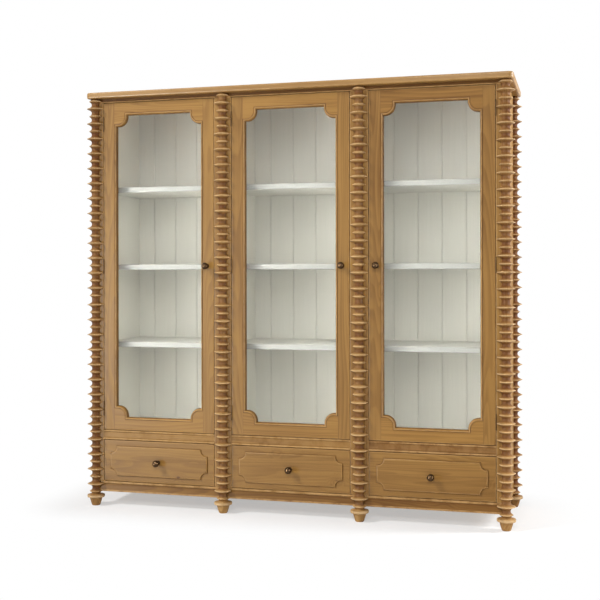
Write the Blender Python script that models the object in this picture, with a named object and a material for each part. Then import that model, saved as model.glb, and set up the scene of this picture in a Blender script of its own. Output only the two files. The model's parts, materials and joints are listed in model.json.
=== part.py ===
"""Three-bay glazed bookcase with spool-turned columns.

Metres, +Z up. The front faces -Y, +X is the viewer's right, and the origin is on the floor under the middle.
The carcass is a plain box of boards. Four turned columns stand on its front and two on its rear corners, and
its outer faces pass through their axes, so each column is rebated to lap round the box above its foot.
"""

import math

import bmesh
import bpy

# Fits
FIT = 0.0003            # between faces that seat on each other
RUNNING_GAP = 0.0025    # round each door and drawer front
PIN_CLEARANCE = 0.0003  # between a hinge pin and its knuckle
MERGE_DISTANCE = 0.00005  # joins a turned piece's seam and ends

# Carcass
BAY_COUNT = 3
BAY_PITCH = 0.689       # from column axis to column axis
AXIS_DEPTH = 0.510      # from the front column axes to the rear ones
BOARD = 0.020           # side panels, partitions and floor
STILE_HALF_WIDTH = 0.0445
FRONT_THICKNESS = 0.022  # stiles, rails, door frames and drawer fronts
HOUSING = 0.005         # depth of the grooves that hold shelves and floors

# Heights, from the floor up
BASE_BOTTOM = 0.072
BASE_RAIL_HEIGHT = 0.0528
DRAWER_HEIGHT = 0.2075
WAIST_HEIGHT = 0.0487
DOOR_HEIGHT = 1.6640
FRIEZE_HEIGHT = 0.0200
TOP_THICKNESS = 0.030

# Top board
TOP_OVERHANG = 0.037    # past the column axes
TOP_CORNER_RADIUS = 0.022
TOP_EDGE_EASE = 0.008
TOP_CORNER_STEPS = 4
TOP_EASE_STEPS = 2

# Back of grooved boards
BACK_THICKNESS = 0.014
BACK_BOARD = 0.1254     # width of one board
FIRST_BACK_JOINTS = (0.112, 0.098, 0.078)  # from each bay's left axis
GROOVE_WIDTH = 0.007
GROOVE_DEPTH = 0.004

# Rails
RAIL_RECESS = 0.005     # base and frieze faces behind their beads
BASE_BEAD = 0.013
BASE_STRIP = 0.009
FRIEZE_STRIP = 0.006
WAIST_BEAD = 0.010
WAIST_BEAD_PROJECTION = 0.004
WAIST_TOP_BEAD = 0.009
WAIST_TOP_PROJECTION = 0.003
BEAD_STEPS = 4

# Turned columns
BOBBIN_SPACING = 0.0381  # from a large disc to the next small one
LARGE_DISC_RADIUS = 0.043
SMALL_DISC_RADIUS = 0.032
CORE_RADIUS = 0.020
COLUMN_HEAD = 0.0122    # from the highest disc to the top board
LEAST_SPLICE = 0.042    # least plain length where the two turned lengths meet
COLUMN_SIDES = 8

# Turned feet
FOOT_DISC_Z = 0.0721    # lowest small disc
FOOT_FLANGE_RADIUS = 0.0445
FOOT_FLANGE_TOP = 0.0542
FOOT_FLANGE_BOTTOM = 0.0424
FOOT_WAIST_RADIUS = 0.033
FOOT_WAIST_DROP = 0.007
FOOT_TIP_RADIUS = 0.0205

# Shelves
SHELF_COUNT = 3
SHELF_THICKNESS = 0.027
SHELF_SETBACK = 0.040   # behind the doors
FIRST_SHELF_RISE = 0.4475
SHELF_RISE = 0.3965
BAY_FLOOR_THICKNESS = 0.027

# Doors
DOOR_STILE_FACE = 0.057  # flat part of the frame's uprights
DOOR_RAIL_FACE = 0.051
MOULDING_WIDTH = 0.014
MOULDING_DEPTH = 0.012
DOOR_SCOOP_RADIUS = 0.050
DOOR_SCOOP_STEP = 0.007
GLASS_THICKNESS = 0.004
GLASS_GROOVE_DEPTH = 0.008
GLASS_SETBACK = 0.014   # from the door's face to the pane
ARC_STEPS = 6
CUT_MARGIN = 0.002      # how far a cutter reaches past what it cuts

# Butt hinges
HINGE_LENGTH = 0.075
HINGE_END_INSET = 0.107  # from the door's ends to the outer hinges
HINGE_COUNT = 3
KNUCKLE_RADIUS = 0.0026
PIN_RADIUS = 0.0012
LEAF_THICKNESS = 0.0008
LEAF_DEPTH = 0.017
LEAF_SINK = 0.0005      # how far a moving leaf is let into the door's edge
HINGE_SIDES = 6

# Drawers
PANEL_SIDE_INSET = 0.036
PANEL_END_INSET = 0.029
PANEL_RISE = 0.007
PANEL_BEVEL = 0.004
PANEL_SCOOP_RADIUS = 0.030
PANEL_SCOOP_STEP = 0.004
DRAWER_REAR_CLEARANCE = 0.0434  # from the box to the back panel
DRAWER_SIDE_GAP = 0.001
DRAWER_WALL = 0.012
DRAWER_BOTTOM = 0.008
DRAWER_HEADROOM = 0.030  # from the box's rim to the bay floor

# Knobs
KNOB_ROSE_RADIUS = 0.012
KNOB_ROSE_THICKNESS = 0.004
KNOB_NECK_RADIUS = 0.007
KNOB_NECK_LENGTH = 0.010
KNOB_BALL_RADIUS = 0.017
KNOB_EDGE_INSET = 0.037  # from a door's free edge
KNOB_SIDES = 10
KNOB_RINGS = 5

# Levels and planes that follow from the sizes above
HALF_WIDTH = BAY_COUNT * BAY_PITCH / 2
KNOB_BALL_START = math.asin(KNOB_NECK_RADIUS / KNOB_BALL_RADIUS)
KNOB_BALL_CENTRE = KNOB_ROSE_THICKNESS + KNOB_NECK_LENGTH + KNOB_BALL_RADIUS * math.cos(KNOB_BALL_START)
FRONT_REACH = PANEL_RISE + FIT + KNOB_BALL_CENTRE + KNOB_BALL_RADIUS  # drawer knobs, before the axes
FRONT = (FRONT_REACH - FOOT_FLANGE_RADIUS - AXIS_DEPTH) / 2  # keeps the whole depth centred
REAR = FRONT + AXIS_DEPTH
INSIDE_FRONT = FRONT + FRONT_THICKNESS + FIT
INSIDE_REAR = REAR - BACK_THICKNESS - FIT
BASE_TOP = BASE_BOTTOM + BASE_RAIL_HEIGHT
DRAWER_BASE = BASE_TOP + RUNNING_GAP
WAIST_BOTTOM = DRAWER_BASE + DRAWER_HEIGHT + RUNNING_GAP
WAIST_TOP = WAIST_BOTTOM + WAIST_HEIGHT
DOOR_BASE = WAIST_TOP + RUNNING_GAP
FRIEZE_BOTTOM = DOOR_BASE + DOOR_HEIGHT + RUNNING_GAP
CARCASS_TOP = FRIEZE_BOTTOM + FRIEZE_HEIGHT
DOOR_WIDTH = BAY_PITCH - 2 * (STILE_HALF_WIDTH + RUNNING_GAP)
HINGE_OFFSET = KNUCKLE_RADIUS + FIT  # hinge axis in front of the doors' faces
SHELF_TOPS = [WAIST_TOP + FIRST_SHELF_RISE + step * SHELF_RISE for step in range(SHELF_COUNT)]
LEVEL_NAMES = ["lower", "middle", "upper"]
BAY_NAMES = ["left", "centre", "right"]
AXIS_NAMES = ["front_left", "centre_left", "centre_right", "front_right"]

# Finishes: colour, roughness, metallic, alpha
PINE = ((0.40, 0.24, 0.10), 0.45, 0.0, 1.0)
PAINT = ((0.62, 0.60, 0.53), 0.60, 0.0, 1.0)
DRAWER_PINE = ((0.50, 0.36, 0.19), 0.60, 0.0, 1.0)
BRONZE = ((0.05, 0.035, 0.025), 0.35, 0.9, 1.0)
GLASS = ((0.90, 0.95, 0.93), 0.03, 0.0, 0.25)


def axis_x(index):
    """X of a front column's axis, counted from the left."""
    return -HALF_WIDTH + index * BAY_PITCH


def finish(target, look):
    """Give an object a material of its own."""
    colour, roughness, metallic, alpha = look
    material = bpy.data.materials.new(target.name + "_finish")
    material.use_nodes = True
    shader = material.node_tree.nodes["Principled BSDF"]
    shader.inputs["Base Color"].default_value = (*colour, 1.0)
    shader.inputs["Roughness"].default_value = roughness
    shader.inputs["Metallic"].default_value = metallic
    shader.inputs["Alpha"].default_value = alpha
    target.data.materials.append(material)


def new_object(name, bm, pivot=None):
    """Make an object from a mesh drawn in world space, with its origin at its pivot empty if it has one."""
    if pivot:
        bmesh.ops.translate(bm, verts=bm.verts, vec=-pivot.location)
    mesh = bpy.data.meshes.new(name)
    bm.to_mesh(mesh)
    bm.free()
    result = bpy.data.objects.new(name, mesh)
    bpy.context.collection.objects.link(result)
    result.parent = pivot
    return result


def piece(name, bm, look, pivot=None):
    """Make a finished piece."""
    result = new_object(name, bm, pivot)
    finish(result, look)
    return result


def helper(name, bm):
    """Make a shape that only cuts or joins other pieces."""
    result = new_object(name, bm)
    result.hide_render = True
    result.display_type = "WIRE"
    return result


def combine(target, other, operation):
    """Cut another shape from an object, or join it on."""
    modifier = target.modifiers.new(other.name, "BOOLEAN")
    modifier.operation = operation
    modifier.solver = "EXACT"
    modifier.object = other


def pivot_empty(name, x, y, z):
    """Mark a joint's axis."""
    result = bpy.data.objects.new(name, None)
    bpy.context.collection.objects.link(result)
    result.location = (x, y, z)
    return result


def add_loft(bm, rings):
    """Add a closed solid through rings of matching points."""
    loops = [[bm.verts.new(point) for point in ring] for ring in rings]
    count = len(loops[0])
    for lower, upper in zip(loops, loops[1:]):
        for index in range(count):
            following = (index + 1) % count
            bm.faces.new((lower[index], lower[following], upper[following], upper[index]))
    bm.faces.new(loops[0])
    bm.faces.new(reversed(loops[-1]))
    bmesh.ops.recalc_face_normals(bm, faces=bm.faces)
    return bm


def add_box(bm, xs, ys, zs):
    """Add a box between pairs of limits."""
    corners = [(0, 0), (1, 0), (1, 1), (0, 1)]
    return add_loft(bm, [[(xs[i], ys[j], z) for i, j in corners] for z in zs])


def add_profile_x(bm, profile, xs):
    """Add a profile of (y, z) points drawn out along X."""
    return add_loft(bm, [[(x, y, z) for y, z in profile] for x in xs])


def add_cylinder(bm, radius, sides, x, y, zs):
    """Add an upright cylinder."""
    turns = [2 * math.pi * (side + 0.5) / sides for side in range(sides)]
    plan = [(x + radius * math.cos(turn), y + radius * math.sin(turn)) for turn in turns]
    return add_loft(bm, [[(px, py, z) for px, py in plan] for z in zs])


def scooped_rectangle(half_width, half_height, radius, step):
    """Outline of a rectangle whose corners are scooped out by quarter circles.

    Each circle is centred one step inside the corner, so its ends meet the sides in small square steps.
    """
    centre_x = half_width - step
    centre_z = half_height - step
    corner = [(half_width, centre_z - radius)]
    for index in range(ARC_STEPS + 1):
        turn = math.radians(270 - 90 * index / ARC_STEPS)
        corner.append((centre_x + radius * math.cos(turn), centre_z + radius * math.sin(turn)))
    corner.append((centre_x - radius, half_height))
    outline = []
    for side_x, side_z in [(1, 1), (-1, 1), (-1, -1), (1, -1)]:
        quarter = [(side_x * x, side_z * z) for x, z in corner]
        outline += quarter if side_x == side_z else reversed(quarter)
    return outline


def scooped_ring(half_width, half_height, radius, step, spread, centre, y):
    """A scooped rectangle at one depth, moved outwards by spread all round."""
    outline = scooped_rectangle(half_width + spread, half_height + spread, radius - spread, step + spread)
    return [(centre[0] + x, y, centre[1] + z) for x, z in outline]


def bead(face, bottom, height, projection):
    """Half-oval bead points (y, z) on the front of a rail, from its foot up."""
    middle = bottom + height / 2
    turns = [math.radians(-90 + 180 * index / BEAD_STEPS) for index in range(BEAD_STEPS + 1)]
    return [(face - projection * math.cos(turn), middle + height / 2 * math.sin(turn)) for turn in turns]


# Top board

def make_top_board():
    half_x = HALF_WIDTH + TOP_OVERHANG
    ys = (FRONT - TOP_OVERHANG, REAR + TOP_OVERHANG)
    bm = add_box(bmesh.new(), (-half_x, half_x), ys, (CARCASS_TOP, CARCASS_TOP + TOP_THICKNESS))
    uprights = [edge for edge in bm.edges if edge.verts[0].co.z != edge.verts[1].co.z]
    bmesh.ops.bevel(bm, geom=uprights, offset=TOP_CORNER_RADIUS, segments=TOP_CORNER_STEPS, affect="EDGES")
    rims = [edge for edge in bm.edges if edge.verts[0].co.z == edge.verts[1].co.z]
    bmesh.ops.bevel(bm, geom=rims, offset=TOP_EDGE_EASE, segments=TOP_EASE_STEPS, affect="EDGES")
    piece("top_board", bm, PINE)


# Rails, floor and back

def make_base_rail():
    face = FRONT + RAIL_RECESS
    bead_bottom = BASE_TOP - BASE_BEAD
    profile = [(FRONT + FRONT_THICKNESS, BASE_BOTTOM), (FRONT, BASE_BOTTOM)]
    profile += [(FRONT, BASE_BOTTOM + BASE_STRIP), (face, BASE_BOTTOM + BASE_STRIP)]
    profile += bead(face, bead_bottom, BASE_BEAD, RAIL_RECESS)
    profile.append((FRONT + FRONT_THICKNESS, BASE_TOP))
    piece("base_rail", add_profile_x(bmesh.new(), profile, (-HALF_WIDTH, HALF_WIDTH)), PINE)


def make_frieze_rail():
    face = FRONT + RAIL_RECESS
    strip_top = FRIEZE_BOTTOM + FRIEZE_STRIP
    top = CARCASS_TOP - FIT
    profile = [(FRONT + FRONT_THICKNESS, FRIEZE_BOTTOM), (FRONT, FRIEZE_BOTTOM), (FRONT, strip_top)]
    profile += [(face, strip_top), (face, top), (FRONT + FRONT_THICKNESS, top)]
    piece("frieze_rail", add_profile_x(bmesh.new(), profile, (-HALF_WIDTH, HALF_WIDTH)), PINE)


def make_base_floor():
    reach = HALF_WIDTH - BOARD + HOUSING - FIT
    bm = add_box(bmesh.new(), (-reach, reach), (INSIDE_FRONT, INSIDE_REAR), (BASE_TOP - BOARD, BASE_TOP))
    piece("base_floor", bm, DRAWER_PINE)


def make_back_panel():
    """Tongue-and-groove boards with a V groove on the inside of each joint."""
    reach = HALF_WIDTH - BOARD - FIT
    inside = REAR - BACK_THICKNESS
    joints = []
    for bay, first in enumerate(FIRST_BACK_JOINTS):
        count = int((BAY_PITCH - BOARD - GROOVE_WIDTH - first) / BACK_BOARD) + 1
        joints += [axis_x(bay) + first + step * BACK_BOARD for step in range(count)]
    outline = [(reach, REAR), (-reach, REAR), (-reach, inside)]
    for x in joints:
        edges = (x - GROOVE_WIDTH / 2, x + GROOVE_WIDTH / 2)
        outline += [(edges[0], inside), (x, inside + GROOVE_DEPTH), (edges[1], inside)]
    outline.append((reach, inside))
    rings = [[(x, y, z) for x, y in outline] for z in (BASE_BOTTOM, CARCASS_TOP - FIT)]
    piece("back_panel", add_loft(bmesh.new(), rings), PAINT)


# Side panels and partitions

def housing_levels():
    """(bottom, top) of the grooves for shelves and bay floors, from the floor up."""
    levels = [(WAIST_TOP - BAY_FLOOR_THICKNESS, WAIST_TOP)]
    levels += [(top - SHELF_THICKNESS, top) for top in SHELF_TOPS]
    return [(bottom - FIT, top + FIT) for bottom, top in levels]


def notched_face(face, inward, levels):
    """(x, z) points up one face of a board, with a groove at each level."""
    points = []
    for bottom, top in levels:
        points += [(face, bottom), (face + inward, bottom), (face + inward, top), (face, top)]
    return points


def make_side_panels():
    floor_level = (BASE_TOP - BOARD - FIT, BASE_TOP + FIT)
    for name, side in [("left", -1), ("right", 1)]:
        outer = side * HALF_WIDTH
        inner = outer - side * BOARD
        profile = [(outer, CARCASS_TOP - FIT), (outer, BASE_BOTTOM), (inner, BASE_BOTTOM)]
        profile += notched_face(inner, side * HOUSING, [floor_level] + housing_levels())
        profile.append((inner, CARCASS_TOP - FIT))
        rings = [[(x, y, z) for x, z in profile] for y in (INSIDE_FRONT, REAR)]
        piece(name + "_side_panel", add_loft(bmesh.new(), rings), PINE)


def make_partitions():
    bottom = BASE_TOP + FIT
    top = CARCASS_TOP - FIT
    for name, index in [("left", 1), ("right", 2)]:
        left = axis_x(index) - BOARD / 2
        right = axis_x(index) + BOARD / 2
        profile = [(left, top), (left, bottom), (right, bottom)]
        profile += notched_face(right, -HOUSING, housing_levels())
        profile.append((right, top))
        rest = notched_face(left, HOUSING, housing_levels())
        profile += reversed(rest)
        rings = [[(x, y, z) for x, z in profile] for y in (INSIDE_FRONT, INSIDE_REAR)]
        piece(name + "_partition", add_loft(bmesh.new(), rings), PAINT)


def bay_reach(bay):
    """X limits of a board housed at both ends in one bay."""
    left = axis_x(bay) + (BOARD if bay == 0 else BOARD / 2)
    right = axis_x(bay + 1) - (BOARD if bay == BAY_COUNT - 1 else BOARD / 2)
    return left - HOUSING + FIT, right + HOUSING - FIT


def make_shelves():
    front = FRONT + FRONT_THICKNESS + SHELF_SETBACK
    for bay, bay_name in enumerate(BAY_NAMES):
        for shelf_name, top in zip(LEVEL_NAMES, SHELF_TOPS):
            bm = add_box(bmesh.new(), bay_reach(bay), (front, INSIDE_REAR), (top - SHELF_THICKNESS, top))
            piece(f"{bay_name}_{shelf_name}_shelf", bm, PAINT)


def make_bay_floors():
    """The floor of each glazed bay, with the waist rail on its front edge."""
    back = INSIDE_FRONT + FIT
    profile = [(back, WAIST_TOP), (back, WAIST_BOTTOM)]
    profile += bead(FRONT, WAIST_BOTTOM, WAIST_BEAD, WAIST_BEAD_PROJECTION)
    profile += bead(FRONT, WAIST_TOP - WAIST_TOP_BEAD, WAIST_TOP_BEAD, WAIST_TOP_PROJECTION)
    for bay, bay_name in enumerate(BAY_NAMES):
        levels = (WAIST_TOP - BAY_FLOOR_THICKNESS, WAIST_TOP)
        floor = add_box(bmesh.new(), bay_reach(bay), (INSIDE_FRONT, INSIDE_REAR), levels)
        rail_ends = (axis_x(bay) + STILE_HALF_WIDTH + FIT, axis_x(bay + 1) - STILE_HALF_WIDTH - FIT)
        rail = helper(bay_name + "_waist_rail_shape", add_profile_x(bmesh.new(), profile, rail_ends))
        combine(piece(bay_name + "_bay_floor", floor, PAINT), rail, "UNION")


# Front stiles and turned columns

def make_stiles():
    for index, name in enumerate(AXIS_NAMES):
        left = max(axis_x(index) - STILE_HALF_WIDTH, -HALF_WIDTH)
        right = min(axis_x(index) + STILE_HALF_WIDTH, HALF_WIDTH)
        levels = (BASE_TOP + FIT, FRIEZE_BOTTOM - FIT)
        bm = add_box(bmesh.new(), (left, right), (FRONT, FRONT + FRONT_THICKNESS), levels)
        piece(name + "_stile", bm, PINE)


def disc_levels():
    """(height, radius) of every disc from the top down: two turned lengths of alternating discs."""
    highest = CARCASS_TOP - COLUMN_HEAD
    span = highest - FOOT_DISC_Z
    pairs = int((span - LEAST_SPLICE + BOBBIN_SPACING) / (4 * BOBBIN_SPACING))
    upper = [highest - index * BOBBIN_SPACING for index in range(2 * pairs + 1)]
    lower = [FOOT_DISC_Z + index * BOBBIN_SPACING for index in reversed(range(2 * pairs))]
    sizes = [SMALL_DISC_RADIUS, LARGE_DISC_RADIUS]
    discs = [(height, sizes[index % 2]) for index, height in enumerate(upper)]
    return discs + [(height, sizes[(index + 1) % 2]) for index, height in enumerate(lower)]


def turned_profile():
    """(radius, height) down a column's outer side: discs flare out of the core at about 45 degrees."""
    discs = disc_levels()
    profile = [(0.0, CARCASS_TOP - FIT), (CORE_RADIUS, CARCASS_TOP - FIT)]
    for (height, radius), (next_height, next_radius) in zip(discs, discs[1:]):
        profile.append((radius, height))
        flare = radius - CORE_RADIUS
        next_flare = next_radius - CORE_RADIUS
        plain = height - next_height - flare - next_flare
        if plain > BOBBIN_SPACING / 4:
            profile += [(CORE_RADIUS, height - flare), (CORE_RADIUS, next_height + next_flare)]
        else:
            profile.append((CORE_RADIUS, height - flare - plain * flare / (flare + next_flare)))
    profile.append((discs[-1][1], discs[-1][0]))
    flange_rise = (discs[-1][0] - FOOT_FLANGE_TOP) / 2
    profile.append((CORE_RADIUS, FOOT_FLANGE_TOP + flange_rise))
    profile += [(FOOT_FLANGE_RADIUS, FOOT_FLANGE_TOP), (FOOT_FLANGE_RADIUS, FOOT_FLANGE_BOTTOM)]
    profile.append((FOOT_WAIST_RADIUS, FOOT_FLANGE_BOTTOM - FOOT_WAIST_DROP))
    return profile + [(FOOT_TIP_RADIUS, 0.0), (0.0, 0.0)]


def turn(target, sides):
    """Spin an object's profile round its Z axis."""
    modifier = target.modifiers.new("turning", "SCREW")
    modifier.axis = "Z"
    modifier.angle = 2 * math.pi
    modifier.steps = sides
    modifier.render_steps = sides
    modifier.use_merge_vertices = True
    modifier.merge_threshold = MERGE_DISTANCE


def profile_mesh(profile):
    """An open chain of edges through (radius, height) points."""
    bm = bmesh.new()
    verts = [bm.verts.new((radius, 0.0, height)) for radius, height in profile]
    for first, second in zip(verts, verts[1:]):
        bm.edges.new((first, second))
    return bm


def make_columns():
    """Each column is turned in the round, then rebated to lap the carcass above its foot."""
    xs = (-HALF_WIDTH - FIT, HALF_WIDTH + FIT)
    ys = (FRONT - FIT, REAR + FIT)
    zs = (BASE_BOTTOM - FIT, CARCASS_TOP + TOP_THICKNESS)
    rebate = helper("carcass_rebate", add_box(bmesh.new(), xs, ys, zs))
    places = [(name, axis_x(index), FRONT) for index, name in enumerate(AXIS_NAMES)]
    places += [("rear_left", -HALF_WIDTH, REAR), ("rear_right", HALF_WIDTH, REAR)]
    for name, x, y in places:
        column = piece(name + "_column", profile_mesh(turned_profile()), PINE)
        column.location = (x, y, 0.0)
        turn(column, COLUMN_SIDES)
        combine(column, rebate, "DIFFERENCE")


# Hinges

def hinge_levels():
    """Middle heights of a door's hinges, from the bottom up."""
    lowest = DOOR_BASE + HINGE_END_INSET
    step = (DOOR_HEIGHT - 2 * HINGE_END_INSET) / (HINGE_COUNT - 1)
    return [lowest + index * step for index in range(HINGE_COUNT)]


def leaf_shape(xs, axis_y, middle, tails):
    """A leaf let into the gap beside the door, with tails that reach the barrel at the given heights."""
    bottom = middle - HINGE_LENGTH / 2
    top = middle + HINGE_LENGTH / 2
    near = FRONT + FIT
    outline = [(FRONT + LEAF_DEPTH, top), (FRONT + LEAF_DEPTH, bottom)]
    for tail_bottom, tail_top in tails:
        if tail_bottom > bottom:
            outline += [(near, bottom), (near, tail_bottom)]
        outline += [(axis_y, tail_bottom), (axis_y, tail_top)]
        bottom = tail_top
    if bottom < top:
        outline += [(near, bottom), (near, top)]
    outline = [point for index, point in enumerate(outline) if point != outline[index - 1]]
    return [[(x, y, z) for y, z in outline] for x in xs]


def knuckle_bands(middle):
    """(bottom, top) of the lower, middle and upper knuckles of one hinge."""
    third = HINGE_LENGTH / 3
    edges = [middle - HINGE_LENGTH / 2 + index * third for index in range(4)]
    return [(edges[0], edges[1] - FIT), (edges[1], edges[2]), (edges[2] + FIT, edges[3])]


def make_fixed_hinges(bay_name, axis, side):
    """The halves screwed to the stile: two knuckles on the pin, and a leaf."""
    x, y = axis
    gap = RUNNING_GAP / 2
    leaf = sorted((x - side * (gap - FIT), x - side * (gap - FIT - LEAF_THICKNESS)))
    for level_name, middle in zip(LEVEL_NAMES, hinge_levels()):
        lower, centre, upper = knuckle_bands(middle)
        barrel = [(0.0, upper[1]), (KNUCKLE_RADIUS, upper[1]), (KNUCKLE_RADIUS, upper[0])]
        barrel += [(PIN_RADIUS, upper[0]), (PIN_RADIUS, lower[1])]
        barrel += [(KNUCKLE_RADIUS, lower[1]), (KNUCKLE_RADIUS, lower[0]), (0.0, lower[0])]
        hinge = piece(f"{bay_name}_door_{level_name}_hinge", profile_mesh(barrel), BRONZE)
        hinge.location = (x, y, 0.0)
        turn(hinge, HINGE_SIDES)
        rings = leaf_shape(leaf, y, middle, [lower, upper])
        combine(hinge, helper(hinge.name + "_leaf_shape", add_loft(bmesh.new(), rings)), "UNION")


def add_moving_hinges(frame, axis, side):
    """Join the door's own leaves and middle knuckles to its edge, and bore them for the pins."""
    x, y = axis
    edge = x + side * RUNNING_GAP / 2
    leaf = sorted((edge + side * LEAF_SINK, edge - side * LEAF_THICKNESS))
    leaves = bmesh.new()
    barrels = bmesh.new()
    bores = bmesh.new()
    for middle in hinge_levels():
        band = knuckle_bands(middle)[1]
        add_loft(leaves, leaf_shape(leaf, y, middle, [band]))
        add_cylinder(barrels, KNUCKLE_RADIUS, HINGE_SIDES, x, y, band)
        bore = PIN_RADIUS + PIN_CLEARANCE
        add_cylinder(bores, bore, HINGE_SIDES, x, y, (band[0] - CUT_MARGIN, band[1] + CUT_MARGIN))
    combine(frame, helper(frame.name + "_leaves_shape", leaves), "UNION")
    combine(frame, helper(frame.name + "_barrels_shape", barrels), "UNION")
    combine(frame, helper(frame.name + "_bores_shape", bores), "DIFFERENCE")


# Knobs

def make_knob(name, x, z, face, pivot):
    """A turned ball knob on a rose, pointing forwards."""
    profile = [(0.0, KNOB_BALL_CENTRE + KNOB_BALL_RADIUS)]
    for ring in range(1, KNOB_RINGS + 1):
        turned = ring * (math.pi - KNOB_BALL_START) / KNOB_RINGS
        height = KNOB_BALL_CENTRE + KNOB_BALL_RADIUS * math.cos(turned)
        profile.append((KNOB_BALL_RADIUS * math.sin(turned), height))
    profile += [(KNOB_NECK_RADIUS, KNOB_ROSE_THICKNESS), (KNOB_ROSE_RADIUS, KNOB_ROSE_THICKNESS)]
    profile += [(KNOB_ROSE_RADIUS, 0.0), (0.0, 0.0)]
    knob = piece(name, profile_mesh(profile), BRONZE)
    knob.parent = pivot
    knob.location = (x - pivot.location.x, face - FIT - pivot.location.y, z - pivot.location.z)
    knob.rotation_euler = (math.radians(90), 0.0, 0.0)
    turn(knob, KNOB_SIDES)


# Doors

def make_door(bay, bay_name, side):
    """A glazed door. Side is 1 where it hangs on its left edge and -1 on its right."""
    centre_x = (axis_x(bay) + axis_x(bay + 1)) / 2
    centre_z = DOOR_BASE + DOOR_HEIGHT / 2
    axis = (centre_x - side * (DOOR_WIDTH + RUNNING_GAP) / 2, FRONT - HINGE_OFFSET)
    pivot = pivot_empty(bay_name + "_door_axis", *axis, centre_z)

    xs = (centre_x - DOOR_WIDTH / 2, centre_x + DOOR_WIDTH / 2)
    zs = (DOOR_BASE, DOOR_BASE + DOOR_HEIGHT)
    frame_box = add_box(bmesh.new(), xs, (FRONT, FRONT + FRONT_THICKNESS), zs)
    frame = piece(bay_name + "_door_frame", frame_box, PINE, pivot)

    sight_x = DOOR_WIDTH / 2 - DOOR_STILE_FACE - MOULDING_WIDTH
    sight_z = DOOR_HEIGHT / 2 - DOOR_RAIL_FACE - MOULDING_WIDTH
    sight = (sight_x, sight_z, DOOR_SCOOP_RADIUS, DOOR_SCOOP_STEP)
    stations = [(MOULDING_WIDTH, FRONT - CUT_MARGIN), (MOULDING_WIDTH, FRONT), (0.0, FRONT + MOULDING_DEPTH)]
    stations.append((0.0, FRONT + FRONT_THICKNESS + CUT_MARGIN))
    centre = (centre_x, centre_z)
    rings = [scooped_ring(*sight, spread, centre, y) for spread, y in stations]
    combine(frame, helper(frame.name + "_opening_shape", add_loft(bmesh.new(), rings)), "DIFFERENCE")

    half_x = sight_x + GLASS_GROOVE_DEPTH
    half_z = sight_z + GLASS_GROOVE_DEPTH
    xs = (centre_x - half_x, centre_x + half_x)
    zs = (centre_z - half_z, centre_z + half_z)
    ys = (FRONT + GLASS_SETBACK - FIT, FRONT + GLASS_SETBACK + GLASS_THICKNESS + FIT)
    combine(frame, helper(frame.name + "_groove_shape", add_box(bmesh.new(), xs, ys, zs)), "DIFFERENCE")
    add_moving_hinges(frame, axis, side)

    pane = [(low + FIT, high - FIT) for low, high in (xs, ys, zs)]
    piece(bay_name + "_door_glass", add_box(bmesh.new(), *pane), GLASS, pivot)
    knob_x = centre_x + side * (DOOR_WIDTH / 2 - KNOB_EDGE_INSET)
    make_knob(bay_name + "_door_knob", knob_x, centre_z, FRONT, pivot)
    make_fixed_hinges(bay_name, axis, side)


# Drawers

def make_drawer(bay, bay_name):
    """A drawer front with a raised panel, on an open box that slides along the floor board."""
    centre_x = (axis_x(bay) + axis_x(bay + 1)) / 2
    centre_z = DRAWER_BASE + DRAWER_HEIGHT / 2
    pivot = pivot_empty(bay_name + "_drawer_slide", centre_x, FRONT, centre_z)

    xs = (centre_x - DOOR_WIDTH / 2, centre_x + DOOR_WIDTH / 2)
    zs = (DRAWER_BASE, DRAWER_BASE + DRAWER_HEIGHT)
    front = piece(bay_name + "_drawer_front",
                  add_box(bmesh.new(), xs, (FRONT, FRONT + FRONT_THICKNESS), zs), PINE, pivot)
    half_x = DOOR_WIDTH / 2 - PANEL_SIDE_INSET
    half_z = DRAWER_HEIGHT / 2 - PANEL_END_INSET
    panel = (half_x, half_z, PANEL_SCOOP_RADIUS, PANEL_SCOOP_STEP)
    stations = [(0.0, FRONT + CUT_MARGIN), (0.0, FRONT - PANEL_RISE + PANEL_BEVEL)]
    stations.append((-PANEL_BEVEL, FRONT - PANEL_RISE))
    rings = [scooped_ring(*panel, spread, (centre_x, centre_z), y) for spread, y in stations]
    combine(front, helper(front.name + "_panel_shape", add_loft(bmesh.new(), rings)), "UNION")

    half_box = BAY_PITCH / 2 - STILE_HALF_WIDTH - DRAWER_SIDE_GAP
    xs = (centre_x - half_box, centre_x + half_box)
    ys = (INSIDE_FRONT, INSIDE_REAR - DRAWER_REAR_CLEARANCE)
    zs = (BASE_TOP + FIT, WAIST_TOP - BAY_FLOOR_THICKNESS - DRAWER_HEADROOM)
    box = piece(bay_name + "_drawer_box", add_box(bmesh.new(), xs, ys, zs), DRAWER_PINE, pivot)
    xs = (xs[0] + DRAWER_WALL, xs[1] - DRAWER_WALL)
    ys = (ys[0] + DRAWER_WALL, ys[1] - DRAWER_WALL)
    hollow = add_box(bmesh.new(), xs, ys, (zs[0] + DRAWER_BOTTOM, zs[1] + CUT_MARGIN))
    combine(box, helper(box.name + "_hollow_shape", hollow), "DIFFERENCE")
    make_knob(bay_name + "_drawer_knob", centre_x, centre_z, FRONT - PANEL_RISE, pivot)


def main():
    for old in list(bpy.data.objects):
        bpy.data.objects.remove(old)
    make_top_board()
    make_frieze_rail()
    make_base_rail()
    make_base_floor()
    make_back_panel()
    make_side_panels()
    make_partitions()
    make_shelves()
    make_bay_floors()
    make_stiles()
    make_columns()
    for bay, (bay_name, side) in enumerate(zip(BAY_NAMES, (1, 1, -1))):
        make_door(bay, bay_name, side)
        make_drawer(bay, bay_name)
    bpy.context.view_layer.update()


main()
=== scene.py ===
import json
import math
from functools import cache

import bpy
import numpy as np
from bpy.props import FloatProperty, FloatVectorProperty, IntProperty, PointerProperty
from mathutils import Matrix, Vector


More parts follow.
